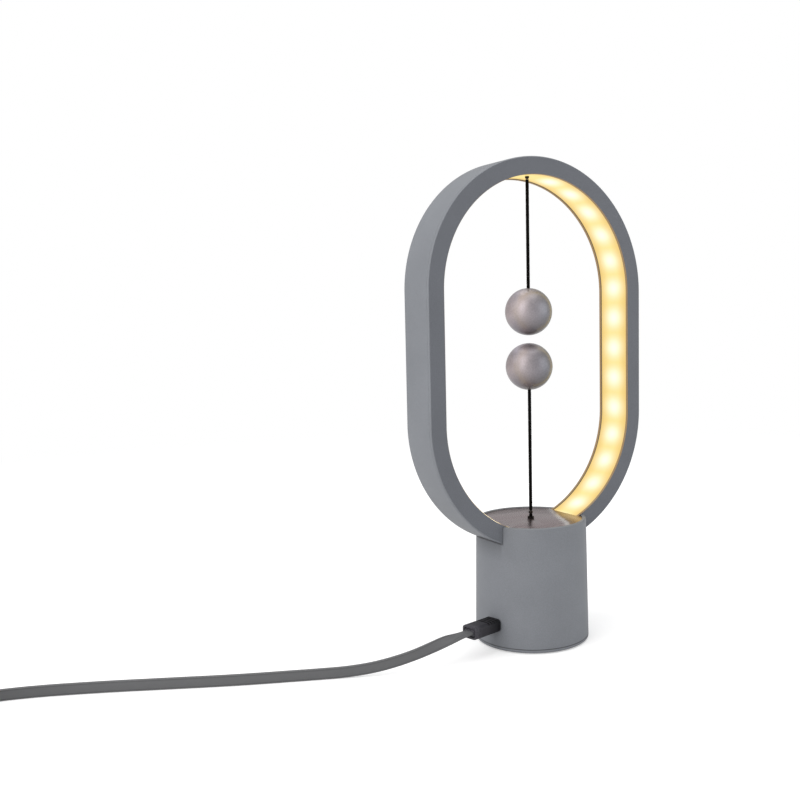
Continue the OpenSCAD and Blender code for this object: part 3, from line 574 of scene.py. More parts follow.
class Finish(NodeKit):
    """Material with a principled shader."""

    def __init__(self, name, colour, roughness, metallic=0.0, **sockets):
        self.material = bpy.data.materials.new(name)
        self.material.use_nodes = True
        super().__init__(self.material.node_tree)
        self.shader = self.tree.nodes["Principled BSDF"]
        self.colour = tuple(colour)
        self.set("Base Color", self.colour)
        self.set("Roughness", roughness)
        self.set("Metallic", metallic)
        for key, value in sockets.items():
            self.set(key.replace("_", " "), value)
        self.spot = self.node("ShaderNodeTexCoord").outputs["Object"]

    def set(self, socket, content):
        self.feed(self.shader.inputs[socket], content)

    def place(self, scale=(1, 1, 1), turn=(0, 0, 0)):
        return self.node(
            "ShaderNodeMapping", {"Vector": self.spot, "Scale": scale, "Rotation": turn}).outputs[0]

    def noise(self, scale, detail=3.0, rough=0.55, stretch=(1, 1, 1)):
        return self.node("ShaderNodeTexNoise", {
            "Vector": self.place(stretch), "Scale": scale, "Detail": detail,
            "Roughness": rough}).outputs["Fac"]

    def spread(self, noise, low_value, high_value):
        """Usual range of a noise stretched to two values."""
        return self.remap(noise, 0.3, 0.7, low_value, high_value)

    def mix(self, factor, a, b, mode="MIX"):
        return self.node(
            "ShaderNodeMix", {0: factor, 6: a, 7: b}, data_type="RGBA", blend_type=mode).outputs[2]

    def dim(self, colour, share):
        """Colour times a share."""
        grey = self.node("ShaderNodeCombineColor", {"Red": share, "Green": share, "Blue": share})
        return self.mix(1.0, colour, grey.outputs[0], "MULTIPLY")

    def scaled(self, share):
        """Own colour times a number."""
        return tuple(min(1.0, c * share) for c in self.colour)

    def tint(self, factor, low_share, high_share):
        """Own colour, darker to lighter with the factor."""
        return self.mix(factor, self.scaled(low_share), self.scaled(high_share))

    def along(self, way):
        """Distance of the point along a level direction."""
        parts = self.parts(self.spot)
        return self.math("MULTIPLY_ADD", parts["X"], way[0], self.times(parts["Y"], way[1]))

    def bump(self, height, strength, distance, below=None):
        sockets = {"Height": height, "Strength": strength, "Distance": distance}
        if below:
            sockets["Normal"] = below
        normal = self.node("ShaderNodeBump", sockets).outputs[0]
        self.set("Normal", normal)
        return normal


def ring_corner_shade(finish, ring):
    """Share of light left on the base's wall by painted shade and a painted shadow line at the ring's ends.
    """
    parts = finish.parts(finish.spot)
    drop = finish.minus(parts["Z"], ring.bottom + ring.radius)
    squared = finish.math("MULTIPLY_ADD", parts["X"], parts["X"], finish.times(drop, drop))
    below = finish.minus(finish.math("SQRT", squared), ring.radius)
    aside = finish.minus(finish.absolute(parts["Y"]), ring.half_depth)
    corner = finish.math("MAXIMUM", below, aside)
    line_share = finish.remap(aside, -MM, 0.0, *SHADOW_LINE_SHARES)
    near_share = finish.remap(aside, -MM, 0.0, *SHADE_SHARES)
    past_line = finish.remap(corner, *SHADOW_LINE_FADE)
    past_shade = finish.remap(corner, *SHADE_FADE)
    dark = finish.math("MULTIPLY_ADD", past_line, finish.minus(near_share, line_share), line_share)
    return finish.math("MULTIPLY_ADD", past_shade, finish.minus(1.0, near_share), dark)


def lacquer(name, colour, speckle=0.10, seam=None, ring=None):
    """Sprayed lacquer: fine speckle, faint orange peel and soft blotches.

    With a seam there is a parting line at that height, and with the ring painted shade at its ends.
    """
    finish = Finish(name, colour, 0.48, Specular_IOR_Level=0.4)
    fine = finish.noise(2600, 2.0, 0.6)
    body = finish.tint(finish.spread(fine, 0.0, 1.0), 1 - speckle, 1 + speckle)
    tone = finish.spread(finish.noise(45, 2.0, 0.5), 0.96, 1.04)
    if seam is not None:
        away = finish.absolute(finish.minus(finish.parts(finish.spot)["Z"], seam))
        tone = finish.times(tone, finish.remap(away, *PARTING_FADE, PARTING_SHARE, 1.0))
    if ring is not None:
        tone = finish.times(tone, ring_corner_shade(finish, ring))
    finish.set("Base Color", finish.dim(body, tone))
    finish.set("Roughness", finish.spread(fine, 0.43, 0.55))
    peel = finish.bump(finish.noise(900, 2.0, 0.5), 0.25, 0.05 * MM)
    finish.bump(fine, 0.2, 0.05 * MM, peel)
    return finish.material


def lit_rim(name, colour):
    """Lacquer on the plates' inner edges with painted glow from the diffuser, brightest low on the front's
    left.
    """
    finish = Finish(name, colour, 0.5, Specular_IOR_Level=0.4)
    finish.set("Base Color", finish.tint(finish.noise(300, 2.0, 0.5), 0.85, 1.15))
    parts = finish.parts(finish.spot)
    begin, full, fade, end = RIM_GLOW_HEIGHTS
    low_end = finish.times(
        finish.remap(parts["Z"], fade, end, 1.0, 0.0), finish.remap(parts["Z"], begin, full))
    front_left = finish.times(
        finish.math("LESS_THAN", parts["Y"], 0.0), finish.math("LESS_THAN", parts["X"], 0.0))
    share = finish.math(
        "MULTIPLY_ADD", finish.times(low_end, front_left), 1 - RIM_GLOW_SHARE, RIM_GLOW_SHARE)
    glow = finish.mix(low_end, RIM_GLOW_COLOUR, RIM_GLOW_LOW_COLOUR)
    finish.set("Emission Color", finish.dim(glow, share))
    finish.set("Emission Strength", RIM_GLOW_STRENGTH)
    return finish.material


def moulded(name, colour, roughness=0.5, grain=0.04 * MM, scale=1400):
    """Moulded plastic or rubber with a fine spark texture."""
    finish = Finish(name, colour, roughness, Specular_IOR_Level=0.45)
    fine = finish.noise(scale, 3.0, 0.6)
    finish.set("Base Color", finish.tint(finish.noise(60, 3.0, 0.5), 0.92, 1.08))
    finish.set("Roughness", finish.spread(fine, roughness - 0.06, roughness + 0.08))
    finish.bump(fine, 0.35, grain)
    return finish.material


def grip_plastic(name, colour, rear, middle_height, half_height):
    """Moulded plug: painted shade in its grip grooves and near the base, and a painted highlight on its
    rear end.
    """
    finish = Finish(name, colour, 0.5, Specular_IOR_Level=0.22)
    parts = finish.parts(finish.place(turn=(0, 0, -PORT_ANGLE)))
    out = finish.times(parts["X"], -1.0)
    first = rear - GRIP_FIRST
    row = finish.math("DIVIDE", finish.minus(out, first), GRIP_PITCH)
    within = finish.times(
        finish.math("GREATER_THAN", row, 0.0), finish.math("LESS_THAN", row, GRIP_COUNT))
    cut = finish.math("LESS_THAN", finish.math("FRACT", row), GRIP_WIDTH / GRIP_PITCH)
    high_up = finish.absolute(finish.minus(parts["Z"], middle_height))
    edge = finish.math("GREATER_THAN", high_up, half_height - GRIP_HEIGHT)
    # Painted shade in the grip grooves
    groove_shade = finish.times(finish.times(within, cut), edge)
    # Painted highlight on the plug's rear end
    painted_light = finish.remap(out, rear - PLUG_HIGHLIGHT_START, rear - PLUG_HIGHLIGHT_FULL)
    grain = finish.noise(1300, 3.0, 0.65)
    pale = finish.times(painted_light, finish.remap(grain, 0.40, 0.60, 0.25, 0.9))
    # Painted shade beside the base
    shaded = finish.tint(finish.remap(out, first - MM, first + PLUG_SHADE_LENGTH), 0.2, 1.0)
    grained = finish.mix(1.0, shaded, finish.mix(grain, (0.7, 0.7, 0.7), (1.6, 1.6, 1.6)), "MULTIPLY")
    body = finish.mix(groove_shade, grained, finish.scaled(GRIP_SHADE_SHARE))
    finish.set("Base Color", finish.mix(pale, body, finish.scaled(PLUG_HIGHLIGHT_SHARE)))
    finish.set("Roughness", finish.spread(grain, 0.36, 0.56))
    finish.bump(grain, 0.5, 0.05 * MM)
    return finish.material


def bare_metal(name, colour, roughness=0.3, grain=0.01 * MM, scale=900):
    """Plated or cast metal with fine scratches and small tone changes."""
    finish = Finish(name, colour, roughness, metallic=1.0)
    fine = finish.noise(scale, 4.0, 0.6)
    finish.set("Base Color", finish.tint(finish.noise(70, 3.0, 0.5), 0.93, 1.06))
    finish.set("Roughness", finish.spread(fine, roughness - 0.06, roughness + 0.08))
    finish.bump(fine, 0.3, grain)
    return finish.material


def pewter(name, colour, centre, radius, crown):
    """Blasted and plated ball: satin, with a painted highlight and a painted cool reflection on one side
    and a painted dark reflection below; crown scales the painted light on its top.
    """
    finish = Finish(
        name, colour, 0.5, metallic=1.0, Coat_Weight=1.0, Coat_Roughness=0.05, Coat_IOR=1.25)
    grain = finish.noise(1500, 3.0, 0.6)
    cloud = finish.noise(110, 3.0, 0.55)
    height = finish.parts(finish.spot)["Z"]
    # Painted dark reflection at the foot and painted light on the crown
    below = finish.remap(height, centre - radius, centre - 0.1 * radius, BALL_FOOT_SHARE, 1.0)
    above = finish.remap(height, centre + 0.55 * radius, centre + radius, 1.0, crown)
    # Painted highlight on one side with a painted cool reflection beside it
    aside = finish.along(HIGHLIGHT_WAY)
    highlight_side = finish.remap(aside, -0.6 * radius, 0.75 * radius)
    from_zone = finish.absolute(finish.minus(aside, COOL_MIDDLE * radius))
    cool = finish.remap(from_zone, 0.0, COOL_REACH * radius, 1.0, 0.0)
    painted_light = finish.mix(cool, finish.mix(highlight_side, SHADED_TINT, HIGHLIGHT_TINT), COOL_TINT)
    speckle = finish.math(
        "MULTIPLY_ADD", finish.remap(grain, 0.35, 0.65), 0.6, finish.times(cloud, 0.4))
    body = finish.mix(1.0, finish.tint(speckle, 0.80, 1.16), painted_light, "MULTIPLY")
    finish.set("Base Color", finish.dim(body, finish.times(below, above)))
    finish.set("Roughness", finish.spread(grain, 0.46, 0.58))
    finish.bump(grain, 0.35, 0.012 * MM)
    return finish.material


def bell(finish, squared):
    """Bell curve of a squared distance."""
    return finish.math("POWER", math.e, finish.times(squared, -0.5))


def brushed(name, colour):
    """Plate brushed along X, with a painted reflection of the lit ring: gold beyond a white glint
    at the end where the ring enters it.
    """
    finish = Finish(name, colour, 0.26, metallic=1.0)
    streak = finish.noise(1, 4.0, 0.65, (60, 2600, 60))
    broad = finish.noise(1, 2.0, 0.5, (18, 420, 18))
    both = finish.math("MULTIPLY_ADD", broad, 0.5, finish.times(streak, 0.5))
    body = finish.tint(finish.spread(both, 0.0, 1.0), 0.84, 1.14)
    # Painted reflection of the lit ring: a white glint and gold beyond it
    reach = finish.math("ADD", finish.along(REFLECTION_WAY), finish.spread(both, -REFLECTION_FRAY, REFLECTION_FRAY))
    edge = finish.math("DIVIDE", finish.minus(reach, GLINT_MIDDLE), GLINT_WIDTH)
    glint = bell(finish, finish.times(edge, edge))
    gold_reflection = finish.remap(reach, GOLD_REFLECTION_START, GOLD_REFLECTION_FULL)
    lit = finish.mix(finish.times(glint, GLINT_SHARE), body, GLINT_COLOUR)
    finish.set("Base Color", finish.mix(finish.times(gold_reflection, GOLD_REFLECTION_SHARE), lit, GOLD_REFLECTION_COLOUR))
    finish.set("Roughness", finish.spread(streak, 0.20, 0.34))
    finish.bump(streak, 0.4, 0.01 * MM)
    return finish.material


def glowing(sizes):
    """Frosted diffuser that glows: a bright spot over each light and a warmer rim."""
    finish = Finish("diffuser_glow", (0.14, 0.10, 0.05), 0.42, Specular_IOR_Level=0.3)
    strip = finish.node("ShaderNodeAttribute", attribute_name="strip").outputs["Vector"]
    parts = finish.parts(strip)
    along, across = parts["X"], parts["Y"]
    share = finish.minus(finish.math("FRACT", finish.math("ADD", along, 0.5)), 0.5)
    run = finish.times(share, sizes.pitch / sizes.spot)
    aside = finish.times(across, SPOT_ACROSS * sizes.half_width / sizes.spot)
    spot = bell(finish, finish.math("MULTIPLY_ADD", run, run, finish.times(aside, aside)))
    lit = finish.times(spot, finish.math("GREATER_THAN", along, 0.5))
    rim = finish.remap(finish.absolute(across), WARM_RIM, 1.0)
    band = finish.mix(rim, tuple(sizes.band_colour), tuple(sizes.edge_colour))
    glow = finish.mix(lit, band, tuple(sizes.spot_colour))
    finish.set("Emission Color", finish.dim(glow, finish.spread(finish.noise(160, 2.0, 0.5), 0.98, 1.02)))
    finish.set("Emission Strength", sizes.strength)
    finish.bump(finish.noise(1800, 2.0, 0.5), 0.2, 0.02 * MM)
    return finish.material


def braided(name, colour):
    """Matt waxed yarn."""
    finish = Finish(name, colour, 0.85, Specular_IOR_Level=0.08)
    fibre = finish.noise(1, 2.0, 0.6, (9000, 9000, 2500))
    finish.set("Base Color", finish.tint(fibre, 0.6, 1.5))
    finish.bump(fibre, 0.4, 0.02 * MM)
    return finish.material


def jacket(name, colour):
    """Soft cable jacket, with painted shade in the grooves beside its two edges."""
    finish = Finish(name, colour, 0.5, Specular_IOR_Level=0.45)
    across = finish.node("ShaderNodeAttribute", attribute_name="across").outputs["Fac"]
    away = finish.absolute(finish.minus(finish.absolute(across), GROOVE_PLACE))
    fine = finish.noise(1500, 3.0, 0.6)
    depth = finish.remap(away, 0.0, GROOVE_REACH, GROOVE_SHADE_SHARE, 1.0)
    finish.set("Base Color", finish.dim(finish.tint(fine, 0.94, 1.06), depth))
    finish.set("Roughness", finish.spread(fine, 0.44, 0.58))
    finish.bump(fine, 0.3, 0.03 * MM)
    return finish.material


# Stage

# Half of the floor's width, and distances from the lamp where it starts to turn white and is white
FLOOR_HALF, FLOOR_FADE = 4.0, (0.45, 0.95)


def empty_kit(owner):
    """Node kit on the cleared tree of a material or world."""
    owner.use_nodes = True
    owner.node_tree.nodes.clear()
    return NodeKit(owner.node_tree)


def seen_straight(kit):
    """1 for rays from the camera, also through clear parts."""
    path = kit.node("ShaderNodeLightPath").outputs
    return kit.math("MAXIMUM", path["Is Camera Ray"], path["Is Transmission Ray"])


def mix_shader(kit, factor, first, second):
    return kit.node("ShaderNodeMixShader", {0: factor, 1: first, 2: second}).outputs[0]


def floor_material(setup):
    """Pale floor that the camera sees as white and that still takes shadows."""
    material = bpy.data.materials.new("stage_floor")
    kit = empty_kit(material)
    diffuse = kit.node("ShaderNodeBsdfDiffuse", {"Color": [setup.floor_colour] * 3}).outputs[0]
    lift = kit.node("ShaderNodeEmission", {"Color": (1, 1, 1), "Strength": setup.floor_lift}).outputs[0]
    lifted = kit.node("ShaderNodeAddShader", {0: diffuse, 1: lift}).outputs[0]
    white = kit.node("ShaderNodeEmission", {"Color": (1, 1, 1), "Strength": 1.0}).outputs[0]
    reach = kit.node(
        "ShaderNodeVectorMath", {0: kit.node("ShaderNodeTexCoord").outputs["Object"]}, operation="LENGTH")
    fade = kit.remap(reach.outputs["Value"], *FLOOR_FADE, curve="SMOOTHSTEP")
    seen = mix_shader(kit, fade, lifted, white)
    kit.node("ShaderNodeOutputMaterial", {"Surface": mix_shader(kit, seen_straight(kit), diffuse, seen)})
    return material


def build_world(setup):
    """Even room light that the camera sees as white."""
    world = bpy.data.worlds.new("studio")
    kit = empty_kit(world)
    room = kit.node("ShaderNodeBackground", {"Strength": setup.ambient}).outputs[0]
    white = kit.node("ShaderNodeBackground", {"Color": (1, 1, 1), "Strength": 1.0}).outputs[0]
    kit.node("ShaderNodeOutputWorld", {"Surface": mix_shader(kit, seen_straight(kit), room, white)})
    bpy.context.scene.world = world


# Name, place, aim, width, height, power and colour of each lamp of the studio
STUDIO_LAMPS = [
    ("key_left", (-1.25, -0.12, 0.80), (0, 0, 0.13), 1.5, 1.7, 14.5, (1.0, 0.985, 0.98)),
    ("top_soft", (0.1, 0.1, 1.5), (0, 0, 0.1), 1.4, 1.4, 9.0, (1.0, 1.0, 1.0)),
    ("fill_right", (0.9, -1.0, 0.45), (0, 0, 0.12), 1.2, 1.0, 4.2, (0.95, 0.97, 1.0)),
]


def add_lamp(name, place, aim, width, height, power, colour):
    """Soft rectangular lamp turned towards its aim."""
    data = bpy.data.lights.new(name, "AREA")
    data.shape = "RECTANGLE"
    data.size = width
    data.size_y = height
    data.energy = power
    data.color = colour
    lamp = bpy.data.objects.new(name, data)
    bpy.context.scene.collection.objects.link(lamp)
    lamp.location = place
    direction = Vector(aim) - Vector(place)
    lamp.rotation_euler = direction.to_track_quat("-Z", "Y").to_euler()


def add_camera(setup):
    data = bpy.data.cameras.new("photo_view")
    data.sensor_fit = "HORIZONTAL"
    data.sensor_width = 36
    data.lens = setup.lens
    data.shift_x = setup.shift
    data.clip_start = 0.01
    data.clip_end = 20
    camera = bpy.data.objects.new("photo_view", data)
    bpy.context.scene.collection.objects.link(camera)
    camera.location = setup.camera_place
    camera.rotation_euler = setup.camera_turn
    bpy.context.scene.camera = camera


def build_stage(setup):
    """Floor, room light, lamps and camera."""
    bpy.context.scene.view_settings.view_transform = "Standard"
    corners = [(x * FLOOR_HALF, y * FLOOR_HALF, 0) for x, y in ((-1, -1), (1, -1), (1, 1), (-1, 1))]
    floor = place_mesh("floor", mesh_from("floor", corners, [(0, 1, 2, 3)]))
    set_material(floor, floor_material(setup))
    build_world(setup)
    for lamp in STUDIO_LAMPS:
        add_lamp(*lamp)
    add_camera(setup)


# Power lead

# Route of the flat cable in millimetres: x, y, z and the turn of its flat from lying to standing
CABLE_ROUTE = [
    (-46.772, -10.283, 13.5, 0), (-51.362, -11.293, 13.5, 0), (-57, -12.4, 13.4, -15),
    (-63, -13, 12.9, -45), (-70, -12.4, 11.3, -75), (-78, -10, 8.8, -90),
    (-87, -6.2, 6.2, -90), (-97, -1.6, 4.1, -90), (-108, 3.5, 3, -90),
    (-120, 9, 2.8, -90), (-133, 15, 2.8, -90), (-147, 21.5, 2.8, -90), (-161, 28.5, 2.8, -90),
    (-175, 36, 2.8, -90), (-189, 43.5, 2.8, -90), (-203, 51, 2.8, -90), (-217, 58, 2.8, -90),
    (-231, 64.5, 2.8, -90), (-245, 69.7, 2.8, -90), (-259, 73.2, 2.9, -90), (-273, 74.8, 3.2, -90),
    (-286, 75, 3.4, -90)]
TAIL_ROUTE = [
    (-297, 75, 9.5, -90), (-303, 75, 9.2, -100), (-310, 75, 7.6, -125), (-317, 75, 5.4, -155),
    (-323, 75, 4.2, -175), (-329, 75, 4, -180)]
# Turn of the small plug and its socket from the ring's plane
PORT_ANGLE = math.radians(12.4)
# Coil in millimetres: run from the route to its first turn, distance between turns, height between
# its two layers, dip inwards at the climb; then points in a turn and the turns that the climb takes
COIL_LEAD, COIL_PITCH, COIL_RISE, COIL_DIP = 5.5, 2.3, 6.1, 1.2
COIL_STEPS, CLIMB_TURNS = 48, 0.5


def smooth_route(route, first, last, per_span=4):
    """Smooth curve through a route's points, with set headings at its two ends."""
    points = [Vector(place) for place in route]
    final = len(points) - 1
    slopes = []
    for k in range(final + 1):
        before, after = points[max(k - 1, 0)], points[min(k + 1, final)]
        if 0 < k < final:
            slopes.append((after - before) / 2)
        else:
            run = Vector(last if k else first) * (after - before).to_3d().length
            slopes.append(Vector((*run, after[3] - before[3])))
    out = []
    for k in range(final):
        for step in range(per_span):
            t = step / per_span
            from_start, to_end = 2 * t ** 3 - 3 * t ** 2 + 1, -2 * t ** 3 + 3 * t ** 2
            leaving, arriving = t ** 3 - 2 * t ** 2 + t, t ** 3 - t ** 2
            out.append(points[k] * from_start + slopes[k] * leaving
                       + points[k + 1] * to_end + slopes[k + 1] * arriving)
    out.append(points[-1])
    return out


def coil_points(sizes):
    """Two layers of standing cable, wound in and out again, with a climb where they turn."""
    start = CABLE_ROUTE[-1]
    radius = sizes.coil_radius / MM
    mid = sizes.coil_turns / 2
    centre = (start[0] - COIL_LEAD, start[1] - radius)
    out = []
    for k in range(sizes.coil_turns * COIL_STEPS + 1):
        u = k / COIL_STEPS - mid
        dip = COIL_DIP * (1 + math.cos(2 * math.pi * u)) / 2 if abs(u) < 0.5 else 0
        r = radius - COIL_PITCH * (mid - abs(u)) - dip
        share = min(1, max(0, u / CLIMB_TURNS + 0.5))
        rise = COIL_RISE * share * share * (3 - 2 * share)
        angle = math.pi / 2 + 2 * math.pi * (u + mid)
        x, y = centre[0] + r * math.cos(angle), centre[1] + r * math.sin(angle)
        out.append(Vector((x, y, start[2] + rise, start[3])))
    return out


def cable_centre_line(sizes):
    """Points of the whole lead with their twist, and its headings at the two ends."""
    port = (-math.cos(PORT_ANGLE), -math.sin(PORT_ANGLE), 0)
    away = (-1, 0, 0)
    route = smooth_route(CABLE_ROUTE, port, away)
    coil = coil_points(sizes)
    tail = smooth_route(TAIL_ROUTE, away, away)
    lead_in = [(route[-1] + coil[0]) / 2]
    lead_out = [(coil[-1] + tail[0]) / 2]
    return route + lead_in + coil + lead_out + tail, Vector(port), Vector(away)


def cable_section():
    """Half-width and half-thickness shares of the flat cable, with a shallow groove near each edge."""
    quarter = [(1.0, 0.0), (0.985, 0.42), (0.93, 0.80), (0.85, 0.98), (0.79, 0.98), (0.72, 0.84),
               (0.65, 0.90), (0.58, 0.94), (0.3, 0.95), (0.0, 0.95)]
    upper = quarter + [(-x, y) for x, y in reversed(quarter[:-1])]
    return upper + [(x, -y) for x, y in reversed(upper[1:-1])]


def build_cable(sizes, colours):
    """Flat cable from plug to plug; also gives its path and its length."""
    line, first, last = cable_centre_line(sizes)
    section = cable_section()
    points, across_values = [], []
    final = len(line) - 1
    for k, spot in enumerate(line):
        if k == 0:
            heading = first
        elif k == final:
            heading = last
        else:
            heading = (line[k + 1].to_3d() - line[k - 1].to_3d()).normalized()
        side = Vector((0, 0, 1)).cross(heading).normalized()
        up = heading.cross(side)
        twist = math.radians(spot[3])
        across = side * math.cos(twist) + up * math.sin(twist)
        through = up * math.cos(twist) - side * math.sin(twist)
        for x, y in section:
            offset = across * (x * sizes.width / 2) + through * (y * sizes.thickness / 2)
            points.append(spot.to_3d() * MM + offset)
            across_values.append(x)
    n = len(section)
    faces = []
    for k in range(final):
        for j in range(n):
            a, b = k * n + j, k * n + (j + 1) % n
            faces.append((a, b, b + n, a + n))
    faces += [tuple(reversed(range(n))), tuple(range(final * n, final * n + n))]
    mesh = mesh_from("power_lead", points, faces)
    values = mesh.attributes.new("across", "FLOAT", "POINT")
    values.data.foreach_set("value", across_values)
    tidy_mesh(mesh, 1e-8)
    shade(mesh, 50)
    cable = place_mesh("power_lead", mesh)
    finish_piece(cable, LAMP, jacket("cable_jacket", colours.cable),
                 ("usb_cable", "usb_cable_coil", "usb_cable_tail"))
    path = [spot.to_3d() * MM for spot in line]
    length = sum((b - a).length for a, b in zip(path, path[1:]))
    return cable, path, length


# Ring

# Radii of the holes for the cord, for a screw and for the lead wires, the screws' distance inside
# their box's edge, and the place of the wires' hole
CORD_HOLE, SCREW_HOLE, WIRE_HOLE = 1.3 * MM, 1.25 * MM, 1.6 * MM
SCREW_INSET = 2.2 * MM
WIRE_PLACE = (-7 * MM, 6 * MM)


def loop_object(name, section):
    """Object whose mesh is one closed loop of edges in its XY plane."""
    mesh = bpy.data.meshes.new(name)
    count = len(section)
    mesh.from_pydata([(x, y, 0) for x, y in section], [(k, (k + 1) % count) for k in range(count)], [])
    return place_mesh(name, mesh)


def body_section(ring):
    """Outer wall with the rear plate, measured inwards from the ring's outside."""
    back, plate = ring.half_depth, ring.half_depth - ring.plate
    front = ring.seam - plate
    nick = ring.edge / 6
    corner = arc((-ring.edge, back - ring.edge), ring.edge, 0, 90, 8)
    return [(-ring.wall, front), (-nick, front), (0, front + nick)] + corner + [
        (nick - ring.band, back), (-ring.band, back - nick), (-ring.band, plate + nick),
        (nick - ring.band, plate), (-ring.wall, plate)]


def cover_section(ring):
    """Front plate, measured inwards from the ring's outside."""
    back, plate = ring.half_depth, ring.half_depth - ring.plate
    nick = ring.edge / 6
    corner = arc((-ring.edge, ring.edge - back), ring.edge, 0, -90, 8)
    return [(-nick, -plate), (0, -plate - nick / 2)] + corner + [
        (nick - ring.band, -back), (-ring.band, nick - back), (-ring.band, -plate - nick),
        (nick - ring.band, -plate)]


def diffuser_section(ring, glow):
    inner, outer = glow.radius - ring.radius, glow.radius + glow.thickness - ring.radius
    side, nick = glow.half_width, glow.thickness / 8
    return [(inner + nick, -side), (outer, -side), (outer, side), (inner + nick, side),
            (inner, side - nick), (inner, nick - side)]


def sweep_ring(name, section, ring, material):
    obj = loop_object(name, section)
    grow(obj, RING_TREE, {
        "Radius": ring.radius, "Straight": ring.top - ring.bottom - 2 * ring.radius,
        "Middle": (ring.top + ring.bottom) / 2, "Steps": ring.steps, "Material": material})
    return obj


def ring_reach(point, ring):
    """Distance of a point from the ring's middle line, measured like the ring's radius."""
    top_centre, low_centre = ring.top - ring.radius, ring.bottom + ring.radius
    beyond = max(point.z - top_centre, low_centre - point.z, 0)
    return math.hypot(point.x, beyond)


def split_faces(mesh, ring, side_material, face_material, rim_material):
    """Plain lacquer on sides, darker lacquer partly as painted shade on flat faces, painted glow on inner
    edges.
    """
    mesh.materials.clear()
    for material in (side_material, face_material, rim_material):
        mesh.materials.append(material)
    rim = ring.radius - ring.band + 0.2 * MM
    for polygon in mesh.polygons:
        if abs(polygon.normal.y) > 0.95:
            polygon.material_index = 1
        elif ring_reach(polygon.center, ring) < rim:
            polygon.material_index = 2


def mark_strip(mesh, ring, glow):
    """Write each point's place along the lights, in pitches, and across the diffuser."""
    top_centre, low_centre = ring.top - ring.radius, ring.bottom + ring.radius
    quarter = math.pi / 2 * glow.strip_radius
    straight = top_centre - low_centre
    values = []
    for vertex in mesh.vertices:
        x, y, z = abs(vertex.co.x), vertex.co.y, vertex.co.z
        if z > top_centre:
            along = math.atan2(x, z - top_centre) * glow.strip_radius
        elif z > low_centre:
            along = quarter + top_centre - z
        else:
            along = quarter + straight + math.atan2(low_centre - z, x) * glow.strip_radius
        values += [along / glow.pitch, y / glow.half_width, 0]
    mesh.attributes.new("strip", "FLOAT_VECTOR", "POINT").data.foreach_set("vector", values)


def build_ring(ring, colours):
    """Channel and front plate, with lacquer for sides and faces and a painted glow on their inner edges."""
    side = lacquer("ring_side", colours.lacquer)
    face = lacquer("ring_face", colours.face, speckle=0.16)
    rim = lit_rim("ring_lit_rim", colours.rim)
    screw_x = high("ring_screws").x - SCREW_INSET
    holes = (
        (0, 0, CORD_HOLE), (-screw_x, 0, SCREW_HOLE), (screw_x, 0, SCREW_HOLE), (*WIRE_PLACE, WIRE_HOLE))
    body = sweep_ring("ring_channel", body_section(ring), ring, side)
    cut_holes(body, [(x, y, ring.bottom - MM, ring.bottom + ring.band, radius) for x, y, radius in holes])
    plate = sweep_ring("ring_front_plate", cover_section(ring), ring, side)
    for obj, node in ((body, "ring_body"), (plate, "ring_cover")):
        split_faces(obj.data, ring, side, face, rim)
        shade(obj.data, 30)
        finish_piece(obj, LAMP, None, (node,))


def build_diffuser(ring, glow):
    """Diffuser with its two cord holes and the marks that its glow follows."""
    material = glowing(glow)
    obj = sweep_ring("light_diffuser", diffuser_section(ring, glow), ring, material)
    top, bottom = ring.top - ring.band, ring.bottom + ring.band
    cut_holes(obj, [
        (0, 0, top - 2 * MM, top + 2 * MM, CORD_HOLE), (0, 0, bottom - 3 * MM, bottom, CORD_HOLE)])
    mark_strip(obj.data, ring, glow)
    shade(obj.data, 30)
    finish_piece(obj, LAMP, material, ("diffuser",))


# Base

BASE_FOOT_RADIUS, BASE_TOP_RADIUS, BASE_HEIGHT = 30 * MM, 29 * MM, 64 * MM


def build_base(ring, colours):
    """Housing, bottom, top disc and eyelet in their CAD shapes with broken edges."""
    grey = lacquer("base_lacquer", colours.lacquer, seam=low("base_shell").z, ring=ring)
    disc = brushed("disc_metal", colours.disc)
    black = bare_metal("eyelet_black", (0.02, 0.018, 0.017), 0.4)
    shell = dress_pieces([
        ("base_shell", "base_housing", 0.3 * MM, 2, "base_lacquer", grey),
        ("bottom_cover", "base_bottom", 0.3 * MM, 2, "cover_plastic", grey),
        ("top_plate", "base_disc", 0.12 * MM, 2, "disc_metal", disc),
        ("cord_eyelet", "disc_eyelet", 0.15 * MM, 3, "eyelet_black", black)])[0]
    true_side_normals(shell.data, BASE_FOOT_RADIUS, BASE_TOP_RADIUS, BASE_HEIGHT)


# Balls and cords

# Plugs in the balls: gap round them, depth under the ball's skin, radius and depth of the cord's hole
PLUG_GAP, PLUG_RECESS = 0.05 * MM, 0.03 * MM
PLUG_BORE, PLUG_BORE_DEPTH = 0.95 * MM, 5 * MM
# Radius of a strand of the braid, and points along one turn of it
STRAND_RADIUS, STRAND_STEPS = 0.26 * MM, 20
# Beads: radius of the hole, width of its broken edge and depth of the dimple
BEAD_HOLE, BEAD_EDGE, BEAD_DIMPLE = 0.5 * MM, 0.1 * MM, 0.25 * MM


